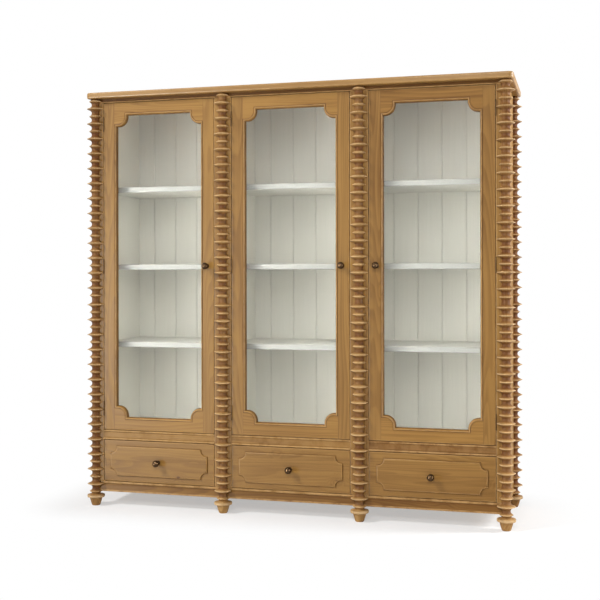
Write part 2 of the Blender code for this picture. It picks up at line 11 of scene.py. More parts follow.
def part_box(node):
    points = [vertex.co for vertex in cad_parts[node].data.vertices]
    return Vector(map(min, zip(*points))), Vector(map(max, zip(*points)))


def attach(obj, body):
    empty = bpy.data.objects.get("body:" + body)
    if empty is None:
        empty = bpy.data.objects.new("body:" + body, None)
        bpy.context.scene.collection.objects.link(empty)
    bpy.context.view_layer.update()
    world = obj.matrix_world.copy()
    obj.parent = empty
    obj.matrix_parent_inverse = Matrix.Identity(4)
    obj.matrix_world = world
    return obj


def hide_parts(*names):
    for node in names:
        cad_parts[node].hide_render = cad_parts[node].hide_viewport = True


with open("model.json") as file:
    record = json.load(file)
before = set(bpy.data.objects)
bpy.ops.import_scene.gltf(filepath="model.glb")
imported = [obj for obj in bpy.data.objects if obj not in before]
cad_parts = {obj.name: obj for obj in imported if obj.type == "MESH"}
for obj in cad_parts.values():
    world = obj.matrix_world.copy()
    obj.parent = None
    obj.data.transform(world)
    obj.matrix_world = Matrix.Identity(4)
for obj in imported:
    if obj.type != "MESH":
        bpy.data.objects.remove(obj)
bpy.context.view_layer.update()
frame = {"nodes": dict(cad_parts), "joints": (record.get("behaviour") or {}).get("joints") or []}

bl_info = {
    "name": "Spool-turned bookcase",
    "version": (1, 0, 0),
    "blender": (4, 5, 0),
    "location": "View3D > Sidebar > Bookcase",
    "description": "Dresses the packed bookcase: turned columns, glazed doors, panelled drawers "
                   "and their finishes",
    "category": "Object",
}

CARCASS = "carcass"
WAXED = "waxed_pine"
UNWAXED = "drawer_pine"
PAINTED = "painted_interior"
BAYS = ("left", "centre", "right")
LEVELS = ("lower", "middle", "upper")
AXES = ("front_left", "centre_left", "centre_right", "front_right", "rear_left", "rear_right")
FRONT_AXES = AXES[:4]
HANGING_SIDES = {"left": 1, "centre": 1, "right": -1}  # 1 where a door hangs on its left edge
FIT = 0.0003  # gap between pieces that touch
SHARP_EDGE = math.radians(38)

# Tones of the wood, from 0 for the palest board to 1 for the darkest. The bay, waist and base tones
# darken the wood towards the right as painted shade, the frieze tone is painted shade under the top
# board, and the stops' tone is painted shade in the gaps round the doors
COLUMN_TONES = {"front_left": 0.6, "centre_left": 0.1, "centre_right": 0.18, "front_right": 0.5,
                "rear_left": 0.6, "rear_right": 0.9}
BAY_SHADE_TONES = {"left": 0.0, "centre": 0.08, "right": 0.2}
WAIST_SHADE_TONES = {"left": 0.12, "centre": 0.3, "right": 0.95}
BASE_SHADE_TONES = (0.0, 0.75)  # at the left and right ends
FRIEZE_SHADE_TONE = 0.5
STOP_SHADE_TONE = 0.6

# Each kind of board starts at its own number, and the golden ratio spreads the numbers over 0 to 1
GOLDEN = 0.618034
FIRST_SEED = 0.37
NUMBERS = {"column": 0, "top": 11, "side": 20, "partition": 23, "stile": 30, "stop": 34, "base_floor": 36,
           "frieze_stop": 37, "base_rail": 40, "frieze_rail": 41, "waist_rail": 42, "shelf": 50,
           "bay_floor": 60, "back": 66, "door": 70, "drawer_front": 80, "drawer_box": 90, "knob": 110,
           "hinge": 130}


def limits(node):
    """Lowest and highest corners of a CAD node, as an array of two rows."""
    return np.array(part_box(node))


def seed(kind, index=0):
    """A number from 0 to 1 that differs from piece to piece."""
    return (FIRST_SEED + GOLDEN * (NUMBERS[kind] + index)) % 1.0


def bookcase():
    """The settings of the bookcase."""
    return bpy.context.scene.bookcase


FRONT, FRONT_BACK = limits("front_left_stile")[:, 1]
SIDE_BOX = limits("left_side_panel")
HALF_WIDTH = -SIDE_BOX[0, 0]
REAR = SIDE_BOX[1, 1]
CARCASS_BOTTOM = SIDE_BOX[0, 2]
CARCASS_TOP = limits("top_board")[0, 2]
DOOR_WIDTH = np.ptp(limits("left_drawer_front")[:, 0])
DOOR_LOW, DOOR_HIGH = limits("left_door_frame")[:, 2]
DOOR_MIDDLE = (DOOR_LOW + DOOR_HIGH) / 2


# Settings

def plain(name, description, default):
    """A bare number."""
    return FloatProperty(name=name, description=description, default=default)


def length(name, description, default):
    """A size."""
    return FloatProperty(name=name, description=description, default=default, unit="LENGTH")


def lengths(name, description, *default):
    """Three sizes or a place."""
    return FloatVectorProperty(name=name, description=description, default=default, unit="LENGTH")


def power(name, description, default):
    """The power of a lamp."""
    return FloatProperty(name=name, description=description, default=default, unit="POWER")


def angle(name, description, degrees):
    """An angle, whose default is given in degrees."""
    return FloatProperty(name=name, description=description, default=math.radians(degrees), unit="ROTATION")


def tint(name, description, *default):
    """A colour."""
    return FloatVectorProperty(name=name, description=description, default=default, subtype="COLOR")


class ColumnSizes(bpy.types.PropertyGroup):
    """Sizes of the turned columns and feet."""
    spacing: length("Disc spacing", "From each disc to the next one down", 0.0381)
    head: length("Head", "From the top board down to the highest disc", 0.0122)
    least_splice: length("Least splice", "Least plain length between the two turned lengths", 0.042)
    lowest_disc: length("Lowest disc", "Height of the lowest disc over the floor", 0.0721)
    large_radius: length("Large disc", "Radius of every second disc", 0.043)
    small_radius: length("Small disc", "Radius of the discs between", 0.032)
    core_radius: length("Core", "Radius of the turned core", 0.0195)
    rim: length("Rim", "Half the thickness of a disc at its rim", 0.0016)
    large_flank: length("Large flank", "How far a large disc's hollow flank runs", 0.0185)
    small_flank: length("Small flank", "How far a small disc's hollow flank runs", 0.0165)
    hollow: plain("Hollow", "Power by which a flank falls off from its rim", 2.3)
    flange_radius: length("Foot flange", "Radius of the flange on a foot", 0.0445)
    flange_height: length("Flange height", "Middle of the flange over the floor", 0.0483)
    tip_radius: length("Foot tip", "Radius of a foot on the floor", 0.0205)
    sides: IntProperty(name="Sides", description="Facets round a column, a multiple of eight", default=40)


class BoardSizes(bpy.types.PropertyGroup):
    """Edges of the flat boards, back boards and door stops."""
    ease: length("Eased edge", "Radius on the edges of boards", 0.0015)
    shelf_ease: length("Shelf edge", "Radius on the edges of shelves", 0.003)
    worn_band: length("Worn band", "How far wear reaches in from an edge", 0.004)
    top_corner: length("Top corner", "Corner radius of the top board in plan", 0.022)
    top_ease: length("Top edge", "Radius on the long edges of the top board", 0.010)
    groove_width: length("Groove width", "Width of the V between two back boards", 0.007)
    groove_depth: length("Groove depth", "Depth of the V between two back boards", 0.004)
    back_board: length("Back board", "Width of one back board", 0.1254)
    stop_lap: length("Stop lap", "How far a door laps the stop behind it", 0.008)
    stop_gap: length("Stop gap", "From a closed door to its stop", 0.0006)
    stop_depth: length("Stop depth", "Depth of a door's stop", 0.016)
    first_joints: lengths("First joints", "First back joint from each bay's left axis", 0.112, 0.098, 0.078)


class RailSizes(bpy.types.PropertyGroup):
    """Mouldings of the base, waist and frieze rails."""
    recess: length("Recess", "How far the flat of a rail lies behind its bead", 0.005)
    base_bead: length("Base bead", "Height of the bead along the base", 0.013)
    base_strip: length("Base strip", "Height of the strip along the base's foot", 0.009)
    frieze_strip: length("Frieze strip", "Height of the strip over the doors", 0.006)
    waist_bead: length("Waist bead", "Height of the bead over the drawers", 0.010)
    waist_projection: length("Waist projection", "How far that bead stands out", 0.004)
    waist_top_bead: length("Waist top bead", "Height of the bead under the doors", 0.009)
    waist_top_projection: length("Waist top projection", "How far that bead stands out", 0.003)


class DoorSizes(bpy.types.PropertyGroup):
    """Mouldings of the glazed doors."""
    stile_face: length("Stile", "Flat width of a door's stiles", 0.057)
    rail_face: length("Rail", "Flat width of a door's rails", 0.051)
    moulding_width: length("Moulding width", "Width of the bead round the glass", 0.014)
    moulding_depth: length("Moulding depth", "How deep that bead falls to the glass", 0.0132)
    bracket_radius: length("Bracket", "Radius of the corner brackets", 0.050)
    bracket_step: length("Bracket step", "Small square step at each end of a bracket", 0.007)


class DrawerSizes(bpy.types.PropertyGroup):
    """Raised panels and boxes of the drawers."""
    side_inset: length("Side inset", "From a drawer's end to its panel", 0.036)
    end_inset: length("Edge inset", "From a drawer's top or bottom edge to its panel", 0.029)
    rise: length("Rise", "How far the panel stands out", 0.007)
    bevel: length("Bevel", "Rounded edge of the panel", 0.004)
    scoop_radius: length("Scoop", "Radius of the scooped corners", 0.030)
    scoop_step: length("Scoop step", "Small square step at each end of a scoop", 0.004)
    wall: length("Wall", "Thickness of a drawer box's walls", 0.012)
    bottom: length("Bottom", "Thickness of a drawer's bottom", 0.008)


class FittingSizes(bpy.types.PropertyGroup):
    """Knobs and hinges."""
    ball_radius: length("Ball", "Radius of a knob's ball", 0.017)
    rose_radius: length("Rose", "Radius of the plate behind a knob", 0.012)
    rose_thickness: length("Rose thickness", "Thickness of that plate", 0.004)
    neck_radius: length("Neck", "Radius of a knob's neck", 0.007)
    knuckle_radius: length("Knuckle", "Radius of a hinge's barrel", 0.0026)
    pin_radius: length("Pin", "Radius of a hinge's pin", 0.0012)
    leaf_thickness: length("Leaf", "Thickness of a hinge's leaves", 0.0008)
    leaf_depth: length("Leaf depth", "How far the leaves reach in from the front", 0.017)


class FinishColours(bpy.types.PropertyGroup):
    """Colours of the finishes."""
    pine_light: tint("Pine, early wood", "Light bands of the waxed pine", 0.325, 0.172, 0.040)
    pine_dark: tint("Pine, late wood", "Dark bands of the waxed pine", 0.168, 0.073, 0.011)
    pine_knot: tint("Pine, knots", "Knots in the waxed pine", 0.085, 0.030, 0.009)
    raw_light: tint("Raw pine, early wood", "Light bands of the unwaxed pine", 0.640, 0.460, 0.255)
    raw_dark: tint("Raw pine, late wood", "Dark bands of the unwaxed pine", 0.420, 0.255, 0.105)
    turning_light: tint("Turned pine, early wood", "Light bands of the turned columns", 0.520, 0.315, 0.118)
    turning_dark: tint("Turned pine, late wood", "Dark bands of the turned columns", 0.225, 0.105, 0.022)
    deep: tint("Deep tone", "What the darkest boards keep of the pine's colour", 0.50, 0.38, 0.28)
    glued: tint("Glued tone", "What the darker of the glued boards keep of it", 0.72, 0.66, 0.58)
    worn: tint("Worn edges", "Pine where handling has thinned the wax", 0.560, 0.340, 0.140)
    # Old wax: dark joint lines between boards, and in hollows and gaps painted shade together with old wax
    dirt: tint("Old wax", "Dark wax that gathers in hollows", 0.100, 0.036, 0.008)
    # Painted shade: the reddish colour that darkens the columns' hollows and the frieze rail
    turning_film: tint("Wax on turnings", "Reddish wax in the hollows of turnings", 0.118, 0.036, 0.007)
    # Worn rims of the discs, painted pale enough to stand for their highlights as well
    turning_worn: tint("Worn turnings", "Rims of the discs where the wax is thin", 0.780, 0.560, 0.310)
    paint: tint("Paint", "Pale paint inside the case", 0.838, 0.815, 0.737)
    # Darker paint for brush marks, and painted shade in the grooves of the back
    paint_shade: tint("Paint in grooves", "Paint where dust has settled", 0.330, 0.310, 0.240)
    bronze: tint("Bronze", "Dark knobs and hinges", 0.046, 0.024, 0.009)
    bronze_worn: tint("Rubbed bronze", "Bronze where fingers have rubbed it", 0.085, 0.048, 0.022)
    bronze_dirt: tint("Bronze in hollows", "Bronze where dirt has settled", 0.012, 0.008, 0.005)
    glass: tint("Glass", "Tint of the panes", 0.975, 0.99, 0.98)


class StageSettings(bpy.types.PropertyGroup):
    """Studio floor, lamps and camera."""
    key_power: power("Key lamp", "Power of the high lamp at the front left", 760.0)
    sheen_power: power("Sheen lamp", "Power of the low lamp that the wax reflects", 930.0)
    rim_power: power("Rim lamp", "Power of the lamp at the right that the wax reflects", 330.0)
    side_power: power("Side lamp", "Power of the tall lamp at the right", 230.0)
    fill_power: power("Fill lamp", "Power of the broad lamp in front", 230.0)
    surround: plain("Surround", "Strength of the even light from all round", 0.12)
    shadow: FloatProperty(name="Shadow", description="Share of the floor that takes shadow", default=0.56,
                          subtype="FACTOR")
    shadow_reach: length("Shadow reach", "How far from the case the floor takes shadow", 0.4)
    focal: FloatProperty(name="Focal length", description="Lens of the camera", default=62.39, unit="CAMERA")
    camera_at: lengths("Camera", "Place of the camera", 1.393, -5.1073, 1.1833)
    turn: angle("Turn", "Turn of the camera to the left", 15.438)
    roll: angle("Roll", "Roll of the camera", -0.104)
    rise: plain("Vertical shift", "Shift of the camera's frame", -0.0445)


class BookcaseSettings(bpy.types.PropertyGroup):
    """All settings of the bookcase."""
    columns: PointerProperty(type=ColumnSizes, name="Columns", description="Turned columns and feet")
    boards: PointerProperty(type=BoardSizes, name="Boards", description="Flat boards")
    rails: PointerProperty(type=RailSizes, name="Rails", description="Moulded rails")
    doors: PointerProperty(type=DoorSizes, name="Doors", description="Glazed doors")
    drawers: PointerProperty(type=DrawerSizes, name="Drawers", description="Panelled drawers")
    fittings: PointerProperty(type=FittingSizes, name="Fittings", description="Knobs and hinges")
    finishes: PointerProperty(type=FinishColours, name="Finishes", description="Colours")
    stage: PointerProperty(type=StageSettings, name="Stage", description="Floor, lamps and camera")


# Surfaces

# Hollow darkens a point with a film of old wax and painted shade; tone darkens the wood, on some pieces as
# painted shade
VALUES = ("wear", "hollow", "board", "tone")  # what each point of a piece tells its finish
MOST_EASE = 0.45                              # of half a board's thickness
EASE_WEAR = 0.65                              # wear where an eased edge meets the faces, 1 on its middle


def shell(points, ring=False, wear=0.0, hollow=0.0, board=0.0, tone=0.0, material=0):
    """A closed surface over a grid of points whose rows are closed loops.

    Row u joins row u + 1 by quads, and each loop joins its last point to its first. The end rows are closed
    by one face each, or joined to each other where the grid is a ring. Faces are turned so that the volume
    they enclose, the sum of their triple products, is positive. Wear, hollow, board and tone are single
    values, or values by row, or by row and column.
    """
    rows, columns = points.shape[:2]
    index = np.arange(rows * columns).reshape(rows, columns)
    lower = index if ring else index[:-1]
    upper = np.roll(index, -1, axis=0)[:len(lower)]
    quads = np.stack([lower, np.roll(lower, -1, axis=1), np.roll(upper, -1, axis=1), upper], axis=-1)
    quads = quads.reshape(-1, 4)
    caps = [] if ring else [index[0][::-1], index[-1]]
    places = points.reshape(-1, 3).astype(float)
    middle = places.mean(axis=0)
    a, b, c, d = (places[quads] - middle).transpose(1, 0, 2)
    volume = np.sum(a * np.cross(b, c)) + np.sum(a * np.cross(c, d))
    for cap in caps:
        fan = places[cap] - middle
        volume += np.sum(fan[0] * np.cross(fan[1:-1], fan[2:]))
    if volume < 0:
        quads = quads[:, ::-1]
        caps = [cap[::-1] for cap in caps]
    item = {"places": places, "quads": quads, "caps": caps, "material": material}
    for name, value in zip(VALUES, (wear, hollow, board, tone)):
        by_row = np.asarray(value)[:, None] if np.ndim(value) == 1 else value
        item[name] = np.broadcast_to(by_row, (rows, columns)).ravel()
    return item


def make_piece(name, shells, materials, body, nodes=(), choose=None):
    """Join closed shells into one piece, with its finish, and hang it on a body of the frame.

    Loops of all faces are laid end to end, and each shell's indices start after the points of those before.
    Choose gives each face's material from arrays of face normals and centres.
    """
    starts = np.cumsum([0] + [len(item["places"]) for item in shells])
    corners = []
    counts = []
    face_materials = []
    for item, start in zip(shells, starts):
        corners += [item["quads"].ravel() + start, *(cap + start for cap in item["caps"])]
        counts += [4] * len(item["quads"]) + [len(cap) for cap in item["caps"]]
        face_materials += [item["material"]] * (len(item["quads"]) + len(item["caps"]))
    corners = np.concatenate(corners)
    mesh = bpy.data.meshes.new(name)
    mesh.vertices.add(starts[-1])
    places = np.concatenate([item["places"] for item in shells])
    mesh.vertices.foreach_set("co", places.astype(np.float32).ravel())
    mesh.loops.add(len(corners))
    mesh.loops.foreach_set("vertex_index", corners.astype(np.int32))
    mesh.polygons.add(len(counts))
    mesh.polygons.foreach_set("loop_start", np.cumsum([0] + counts[:-1]).astype(np.int32))
    mesh.polygons.foreach_set("material_index", np.array(face_materials, np.int32))
    mesh.update(calc_edges=True)
    if mesh.validate():
        raise RuntimeError(name + " has faces that can't be used")
    for value in VALUES:
        layer = mesh.attributes.new(value, "FLOAT", "POINT")
        layer.data.foreach_set("value", np.concatenate([item[value] for item in shells]).astype(np.float32))
    if choose:
        normals = np.empty(3 * len(counts), np.float32)
        centres = np.empty(3 * len(counts), np.float32)
        mesh.polygons.foreach_get("normal", normals)
        mesh.polygons.foreach_get("center", centres)
        chosen = choose(normals.reshape(-1, 3), centres.reshape(-1, 3))
        mesh.polygons.foreach_set("material_index", chosen.astype(np.int32))
    mesh.polygons.foreach_set("use_smooth", np.ones(len(counts), bool))
    mesh.set_sharp_from_angle(angle=SHARP_EDGE)
    for material in materials:
        mesh.materials.append(material)
    piece = bpy.data.objects.new(name, mesh)
    bpy.context.scene.collection.objects.link(piece)
    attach(piece, body)
    if nodes:
        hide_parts(*nodes)
    return piece


def mirrored_loop(quarter):
    """Closed loop of the points of one quarter, mirrored across both axes and joined end to end."""
    back = quarter[::-1]
    return np.concatenate([quarter, back * (-1, 1), quarter * (-1, -1), back * (1, -1)])


def rounded_loop(half_u, half_v, radius, steps=4):
    """Rectangle whose corners are quarter circles of the radius."""
    turn = np.radians(np.linspace(0, 90, steps + 1))
    u = half_u - radius * (1 - np.cos(turn))
    v = half_v - radius * (1 - np.sin(turn))
    return mirrored_loop(np.stack([u, v], axis=1))


def eased_board(low, high, thin, ease=None, band=None, corner=None, steps=3, grime=0.0, **values):
    """A board with rounded edges.

    A rounded rectangle in the two wide directions is carried across the thin one. Near each face it is drawn
    in by a quarter circle, ease times 1 - sine, while the depth runs as ease times 1 - cosine. One more row
    lies a worn band further in on the faces and down the sides, so that wear fades there, and gap shade
    darkens the sides as painted shade.
    """
    low, high = np.asarray(low, float), np.asarray(high, float)
    wide = [axis for axis in range(3) if axis != thin]
    half = (high - low) / 2
    middle = (high + low) / 2
    band = bookcase().boards.worn_band if band is None else band
    ease = bookcase().boards.ease if ease is None else ease
    ease = min(ease, MOST_EASE * half[thin])
    side_band = min(band, MOST_EASE * (half[thin] - ease))
    turn = np.radians(np.linspace(0, 90, steps))
    inset = np.concatenate([[ease + band], ease * (1 - np.sin(turn)), [0.0]])
    depth = np.concatenate([[0.0], ease * (1 - np.cos(turn)), [ease + side_band]])
    wear = np.concatenate([[0.0], EASE_WEAR + (1 - EASE_WEAR) * np.sin(2 * turn), [0.0]])
    inset = np.concatenate([inset, inset[::-1]])
    depth = np.concatenate([depth - half[thin], half[thin] - depth[::-1]])
    wear = np.concatenate([wear, wear[::-1]])
    corner = ease + FIT if corner is None else corner
    rows = [rounded_loop(*(half[wide] - drawn), max(corner - drawn, FIT)) for drawn in inset]
    points = np.empty((len(rows), len(rows[0]), 3))
    points[..., wide] = np.array(rows) + middle[wide]
    points[..., thin] = (depth + middle[thin])[:, None]
    hollow = np.zeros(len(rows))
    hollow[[steps + 1, steps + 2]] = grime
    return shell(points, wear=wear, hollow=hollow, **values)


def drawn_out(profile, along, axis, wear=0.0, hollow=0.0, **values):
    """A closed profile carried straight along one axis, from the first to the second place."""
    others = [index for index in range(3) if index != axis]
    points = np.empty((2, len(profile), 3))
    points[..., others] = profile
    points[..., axis] = np.asarray(along)[:, None]
    wear, hollow = [np.broadcast_to(value, points.shape[:2]) for value in (wear, hollow)]
    return shell(points, wear=wear, hollow=hollow, **values)


def turned(radii, heights, sides, **values):
    """A profile spun round the Z axis: x = radius cosine, y = radius sine, z = height."""
    angles = 2 * np.pi * np.arange(sides) / sides
    x = radii[:, None] * np.cos(angles)
    y = radii[:, None] * np.sin(angles)
    return shell(np.stack([x, y, np.broadcast_to(heights[:, None], x.shape)], axis=-1), **values)


def moved(item, place):
    """The same shell, shifted."""
    return {**item, "places": item["places"] + np.asarray(place)}


def bead(face, bottom, height, projection, steps=10):
    """Half oval before a face, from its foot up: y = face - projection cosine, z = middle + half sine."""
    turn = np.radians(np.linspace(-90, 90, steps + 1))
    return np.stack([face - projection * np.cos(turn), bottom + height / 2 * (1 + np.sin(turn))], axis=1)


def scooped_quarter(half_x, half_z, radius, step, spread, steps=16):
    """Upper right quarter of a rectangle whose corner is scooped by a circle centred one step inside it.

    Spread moves the line outwards: the sides by the spread, while the circle shrinks about its centre.
    """
    turn = np.radians(np.linspace(-90, -180, steps + 1))
    centre = np.array([half_x - step, half_z - step])
    reach = radius - spread
    arc = centre + reach * np.stack([np.cos(turn), np.sin(turn)], axis=1)
    first = [[half_x + spread, centre[1] - reach]]
    last = [[centre[0] - reach, half_z + spread]]
    return np.concatenate([first, arc, last])


def square_quarter(half_x, half_z, like):
    """Upper right quarter of a plain rectangle, with a scooped quarter's points spread round its corner."""
    share = np.linspace(0, 2, len(like))
    up = np.clip(share, 0, 1)
    over = np.clip(share - 1, 0, 1)
    return np.stack([half_x + (like[-1, 0] - half_x) * over, like[0, 1] + (half_z - like[0, 1]) * up], axis=1)


def frame_loops(outline, rows):
    """Loops for (spread, y) rows of a scooped outline, or (half x, half z, y) rows of a plain rectangle."""
    like = scooped_quarter(*outline, max(row[0] for row in rows if len(row) == 2))
    loops = []
    for row in rows:
        quarter = scooped_quarter(*outline, row[0]) if len(row) == 2 else square_quarter(row[0], row[1], like)
        loops.append(np.insert(mirrored_loop(quarter), 1, row[-1], axis=1))
    return np.array(loops)


def edge_rows(half_x, half_z, ease, face, into):
    """Plain rows of a rounded edge, from a face to the sides: a quarter circle of the ease."""
    edge = np.radians([0, 45, 90])
    inset = ease * (1 - np.sin(edge))
    sink = ease * (1 - np.cos(edge))
    return [(half_x - drawn, half_z - drawn, face + into * down) for drawn, down in zip(inset, sink)]


# Shader graphs

class Graph:
    """Short calls that add nodes to a node tree."""

    def __init__(self, tree):
        self.tree = tree

    def fill(self, node, values):
        """Set a node's inputs to numbers, vectors or colours, or link them to sockets."""
        for key, value in values.items():
            socket = node.inputs[key]
            if isinstance(value, bpy.types.NodeSocket):
                self.tree.links.new(value, socket)
            elif socket.type == "RGBA":
                socket.default_value = (*value, 1.0)
            else:
                socket.default_value = value

    def add(self, kind, values=None, **settings):
        """A node with its settings and inputs."""
        node = self.tree.nodes.new(kind)
        for key, value in settings.items():
            setattr(node, key, value)
        self.fill(node, values or {})
        return node

    def calc(self, operation, *values, clamp=False):
        """A Math node's value."""
        node = self.add("ShaderNodeMath", dict(enumerate(values)), operation=operation, use_clamp=clamp)
        return node.outputs[0]

    def times(self, first, second, clamp=False):
        """A product."""
        return self.calc("MULTIPLY", first, second, clamp=clamp)

    def line(self, value, slope, start, clamp=False):
        """A value times a slope, plus a start."""
        return self.calc("MULTIPLY_ADD", value, slope, start, clamp=clamp)

    def about(self, value, middle, slope, start, clamp=False):
        """The same for a value measured from its middle."""
        return self.line(self.calc("SUBTRACT", value, middle), slope, start, clamp)

    def vector(self, operation, *values):
        """A Vector Math node's vector."""
        return self.add("ShaderNodeVectorMath", dict(enumerate(values)), operation=operation).outputs[0]

    def joined(self, *parts):
        """A vector of three parts."""
        return self.add("ShaderNodeCombineXYZ", dict(enumerate(parts))).outputs[0]

    def mix(self, factor, first, second, mode="MIX"):
        """A mix of two colours."""
        node = self.add("ShaderNodeMix", {0: factor, 6: first, 7: second}, data_type="RGBA", blend_type=mode)
        return node.outputs[2]

    def between(self, factor, first, second):
        """A mix of two values."""
        return self.add("ShaderNodeMix", {0: factor, 2: first, 3: second}).outputs[0]

    def ramp(self, value, start, end, low=0.0, high=1.0):
        """A smooth step from low to high as the value goes from start to end."""
        values = {"Value": value, "From Min": start, "From Max": end, "To Min": low, "To Max": high}
        return self.add("ShaderNodeMapRange", values, interpolation_type="SMOOTHSTEP").outputs[0]

    def noise(self, place, scale, detail=2.0, roughness=0.5, squeeze=None):
        """Noise at a place, which squeeze first multiplies axis by axis."""
        place = self.vector("MULTIPLY", place, squeeze) if squeeze else place
        values = {"Vector": place, "Scale": scale, "Detail": detail, "Roughness": roughness}
        return self.add("ShaderNodeTexNoise", values).outputs[0]

    def attribute(self, name):
        """A value that the piece's points hold."""
        return self.add("ShaderNodeAttribute", attribute_name=name).outputs["Fac"]

    def bump(self, height, strength, distance):
        """Normals of a relief."""
        values = {"Height": height, "Strength": strength, "Distance": distance}
        return self.add("ShaderNodeBump", values).outputs[0]

    def place(self, tree, **values):
        """Outputs of a placed node group. Its inputs are named with underscores for spaces."""
        named = {key.replace("_", " "): value for key, value in values.items()}
        return self.add("ShaderNodeGroup", named, node_tree=tree).outputs


def new_group(name, inputs, outputs):
    """An empty node group with named sockets, and its input and output nodes.

    An input is a vector where its default is None, a value where that is a number, and else a colour.
    """
    tree = bpy.data.node_groups.new(name, "ShaderNodeTree")
    for label, default in inputs.items():
        kind = "Vector" if default is None else "Float" if isinstance(default, float) else "Color"
        socket = tree.interface.new_socket(name=label, in_out="INPUT", socket_type="NodeSocket" + kind)
        if default is not None:
            socket.default_value = default
    for label in outputs:
        kind = "Color" if label == "Color" else "Float"
        tree.interface.new_socket(name=label, in_out="OUTPUT", socket_type="NodeSocket" + kind)
    graph = Graph(tree)
    return graph, graph.add("NodeGroupInput").outputs, graph.add("NodeGroupOutput")


GREY = (0.5, 0.5, 0.5, 1.0)  # default of the groups' colours, which every finish sets


@cache
def pine_group():
    """Pine with the grain along X: growth rings are level lines of stretched noise, bent round the knots."""
    graph, given, out = new_group(
        "pine_grain",
        {"Vector": None, "Light": GREY, "Dark": GREY, "Knot": GREY, "Ring Contrast": 0.5, "Knot Scale": 3.0,
         "Knot Size": 0.014},
        ("Color", "Roughness", "Height"))
    sway = graph.noise(given["Vector"], 1.6, 1.0, squeeze=(0.9, 3.0, 3.0))
    lean = graph.joined(0.0, graph.line(sway, 0.05, -0.025), graph.line(sway, 0.03, -0.015))
    swayed = graph.vector("ADD", given["Vector"], lean)
    cells = graph.add("ShaderNodeTexVoronoi", {"Vector": graph.vector("MULTIPLY", swayed, (0.6, 1.0, 1.0)),
                                               "Scale": given["Knot Scale"], "Randomness": 1.0})
    gap = graph.calc("DIVIDE", cells.outputs["Distance"], given["Knot Scale"])
    near = graph.calc("DIVIDE", gap, given["Knot Size"])
    knot = graph.ramp(near, 1.0, 0.55)
    halo = graph.ramp(near, 4.5, 0.6)
    broad = graph.noise(swayed, 7.5, 1.2, 0.45, squeeze=(0.055, 1.0, 1.0))
    ring = graph.calc("FRACT", graph.times(graph.line(halo, 0.10, broad), 30.0))
    late = graph.times(graph.ramp(ring, 0.1, 0.86), graph.ramp(ring, 1.0, 0.9))
    fibre = graph.noise(swayed, 1.0, 3.0, 0.65, squeeze=(4.0, 190.0, 190.0))
    streak = graph.noise(swayed, 1.0, 2.0, 0.55, squeeze=(0.9, 46.0, 46.0))
    tone = graph.noise(given["Vector"], 1.0, 2.0, squeeze=(1.0, 7.0, 7.0))
    depth = graph.times(late, given["Ring Contrast"])
    depth = graph.about(fibre, 0.5, 0.42, depth)
    depth = graph.about(streak, 0.5, 1.0, depth)
    depth = graph.about(tone, 0.435, 1.6, depth)
    depth = graph.line(halo, 0.22, depth, clamp=True)
    wood = graph.mix(depth, given["Light"], given["Dark"])
    rough = graph.line(fibre, 0.2, 0.45)
    height = graph.line(late, 0.35, fibre)
    graph.fill(out, {"Color": graph.mix(graph.times(knot, 0.85), wood, given["Knot"]),
                     "Roughness": graph.line(late, -0.06, rough), "Height": graph.line(knot, -0.4, height)})
    return graph.tree


@cache
def handling_group():
    """Wear, dirt and painted shade: worn edges go pale in patches, and hollows gather a dark film, which on
    most pieces is painted shade as well as old wax.
    """
    graph, given, out = new_group(
        "handling_wear",
        {"Vector": None, "Color": GREY, "Worn": GREY, "Dirt": GREY, "Wear": 0.0, "Hollow": 0.0,
         "Wear Amount": 0.6, "Dirt Amount": 0.6},
        ("Color", "Worn Mask", "Dirt Mask"))
    patches = graph.noise(given["Vector"], 26.0, 3.0, 0.6)
    worn = graph.times(given["Wear"], graph.ramp(patches, 0.25, 0.62, 0.25, 1.0))
    worn = graph.times(worn, given["Wear Amount"], clamp=True)
    smears = graph.noise(given["Vector"], 11.0, 2.0)
    dirt = graph.times(given["Hollow"], graph.ramp(smears, 0.2, 0.7, 0.55, 1.0))
    dirt = graph.times(dirt, given["Dirt Amount"], clamp=True)
    aged = graph.mix(dirt, graph.mix(worn, given["Color"], given["Worn"]), given["Dirt"])
    graph.fill(out, {"Color": aged, "Worn Mask": worn, "Dirt Mask": dirt})
    return graph.tree


@cache
def boards_group():
    """Boards glued side by side: a tone for each board, and a thin line at each joint."""
    graph, given, out = new_group(
        "glued_boards", {"Across": 0.0, "Width": 0.12, "Line": 0.0006, "Seed": 0.0}, ("Tone", "Joint"))
    place = graph.calc("DIVIDE", given["Across"], given["Width"])
    whole = graph.calc("ADD", graph.calc("FLOOR", place), graph.times(given["Seed"], 53.0))
    tone = graph.add("ShaderNodeTexWhiteNoise", {"W": whole}, noise_dimensions="1D").outputs["Value"]
    edge = graph.times(graph.calc("PINGPONG", place, 0.5), given["Width"])
    graph.fill(out, {"Tone": tone, "Joint": graph.ramp(edge, graph.times(given["Line"], 1.6), 0.0)})
    return graph.tree


@cache
def paint_group():
    """Brushed paint: long brush marks along Z, and a slight drift of tone."""
    graph, given, out = new_group(
        "brushed_paint", {"Vector": None, "Paint": GREY, "Shade": GREY}, ("Color", "Roughness", "Height"))
    marks = graph.noise(given["Vector"], 1.0, 2.0, 0.6, squeeze=(120.0, 120.0, 3.0))
    drift = graph.noise(given["Vector"], 2.3, 3.0)
    shaded = graph.about(marks, 0.5, 0.12, 0.05)
    shaded = graph.about(drift, 0.5, 0.25, shaded, clamp=True)
    graph.fill(out, {"Color": graph.mix(shaded, given["Paint"], given["Shade"]),
                     "Roughness": graph.line(marks, 0.2, 0.45), "Height": marks})
    return graph.tree


# Finishes

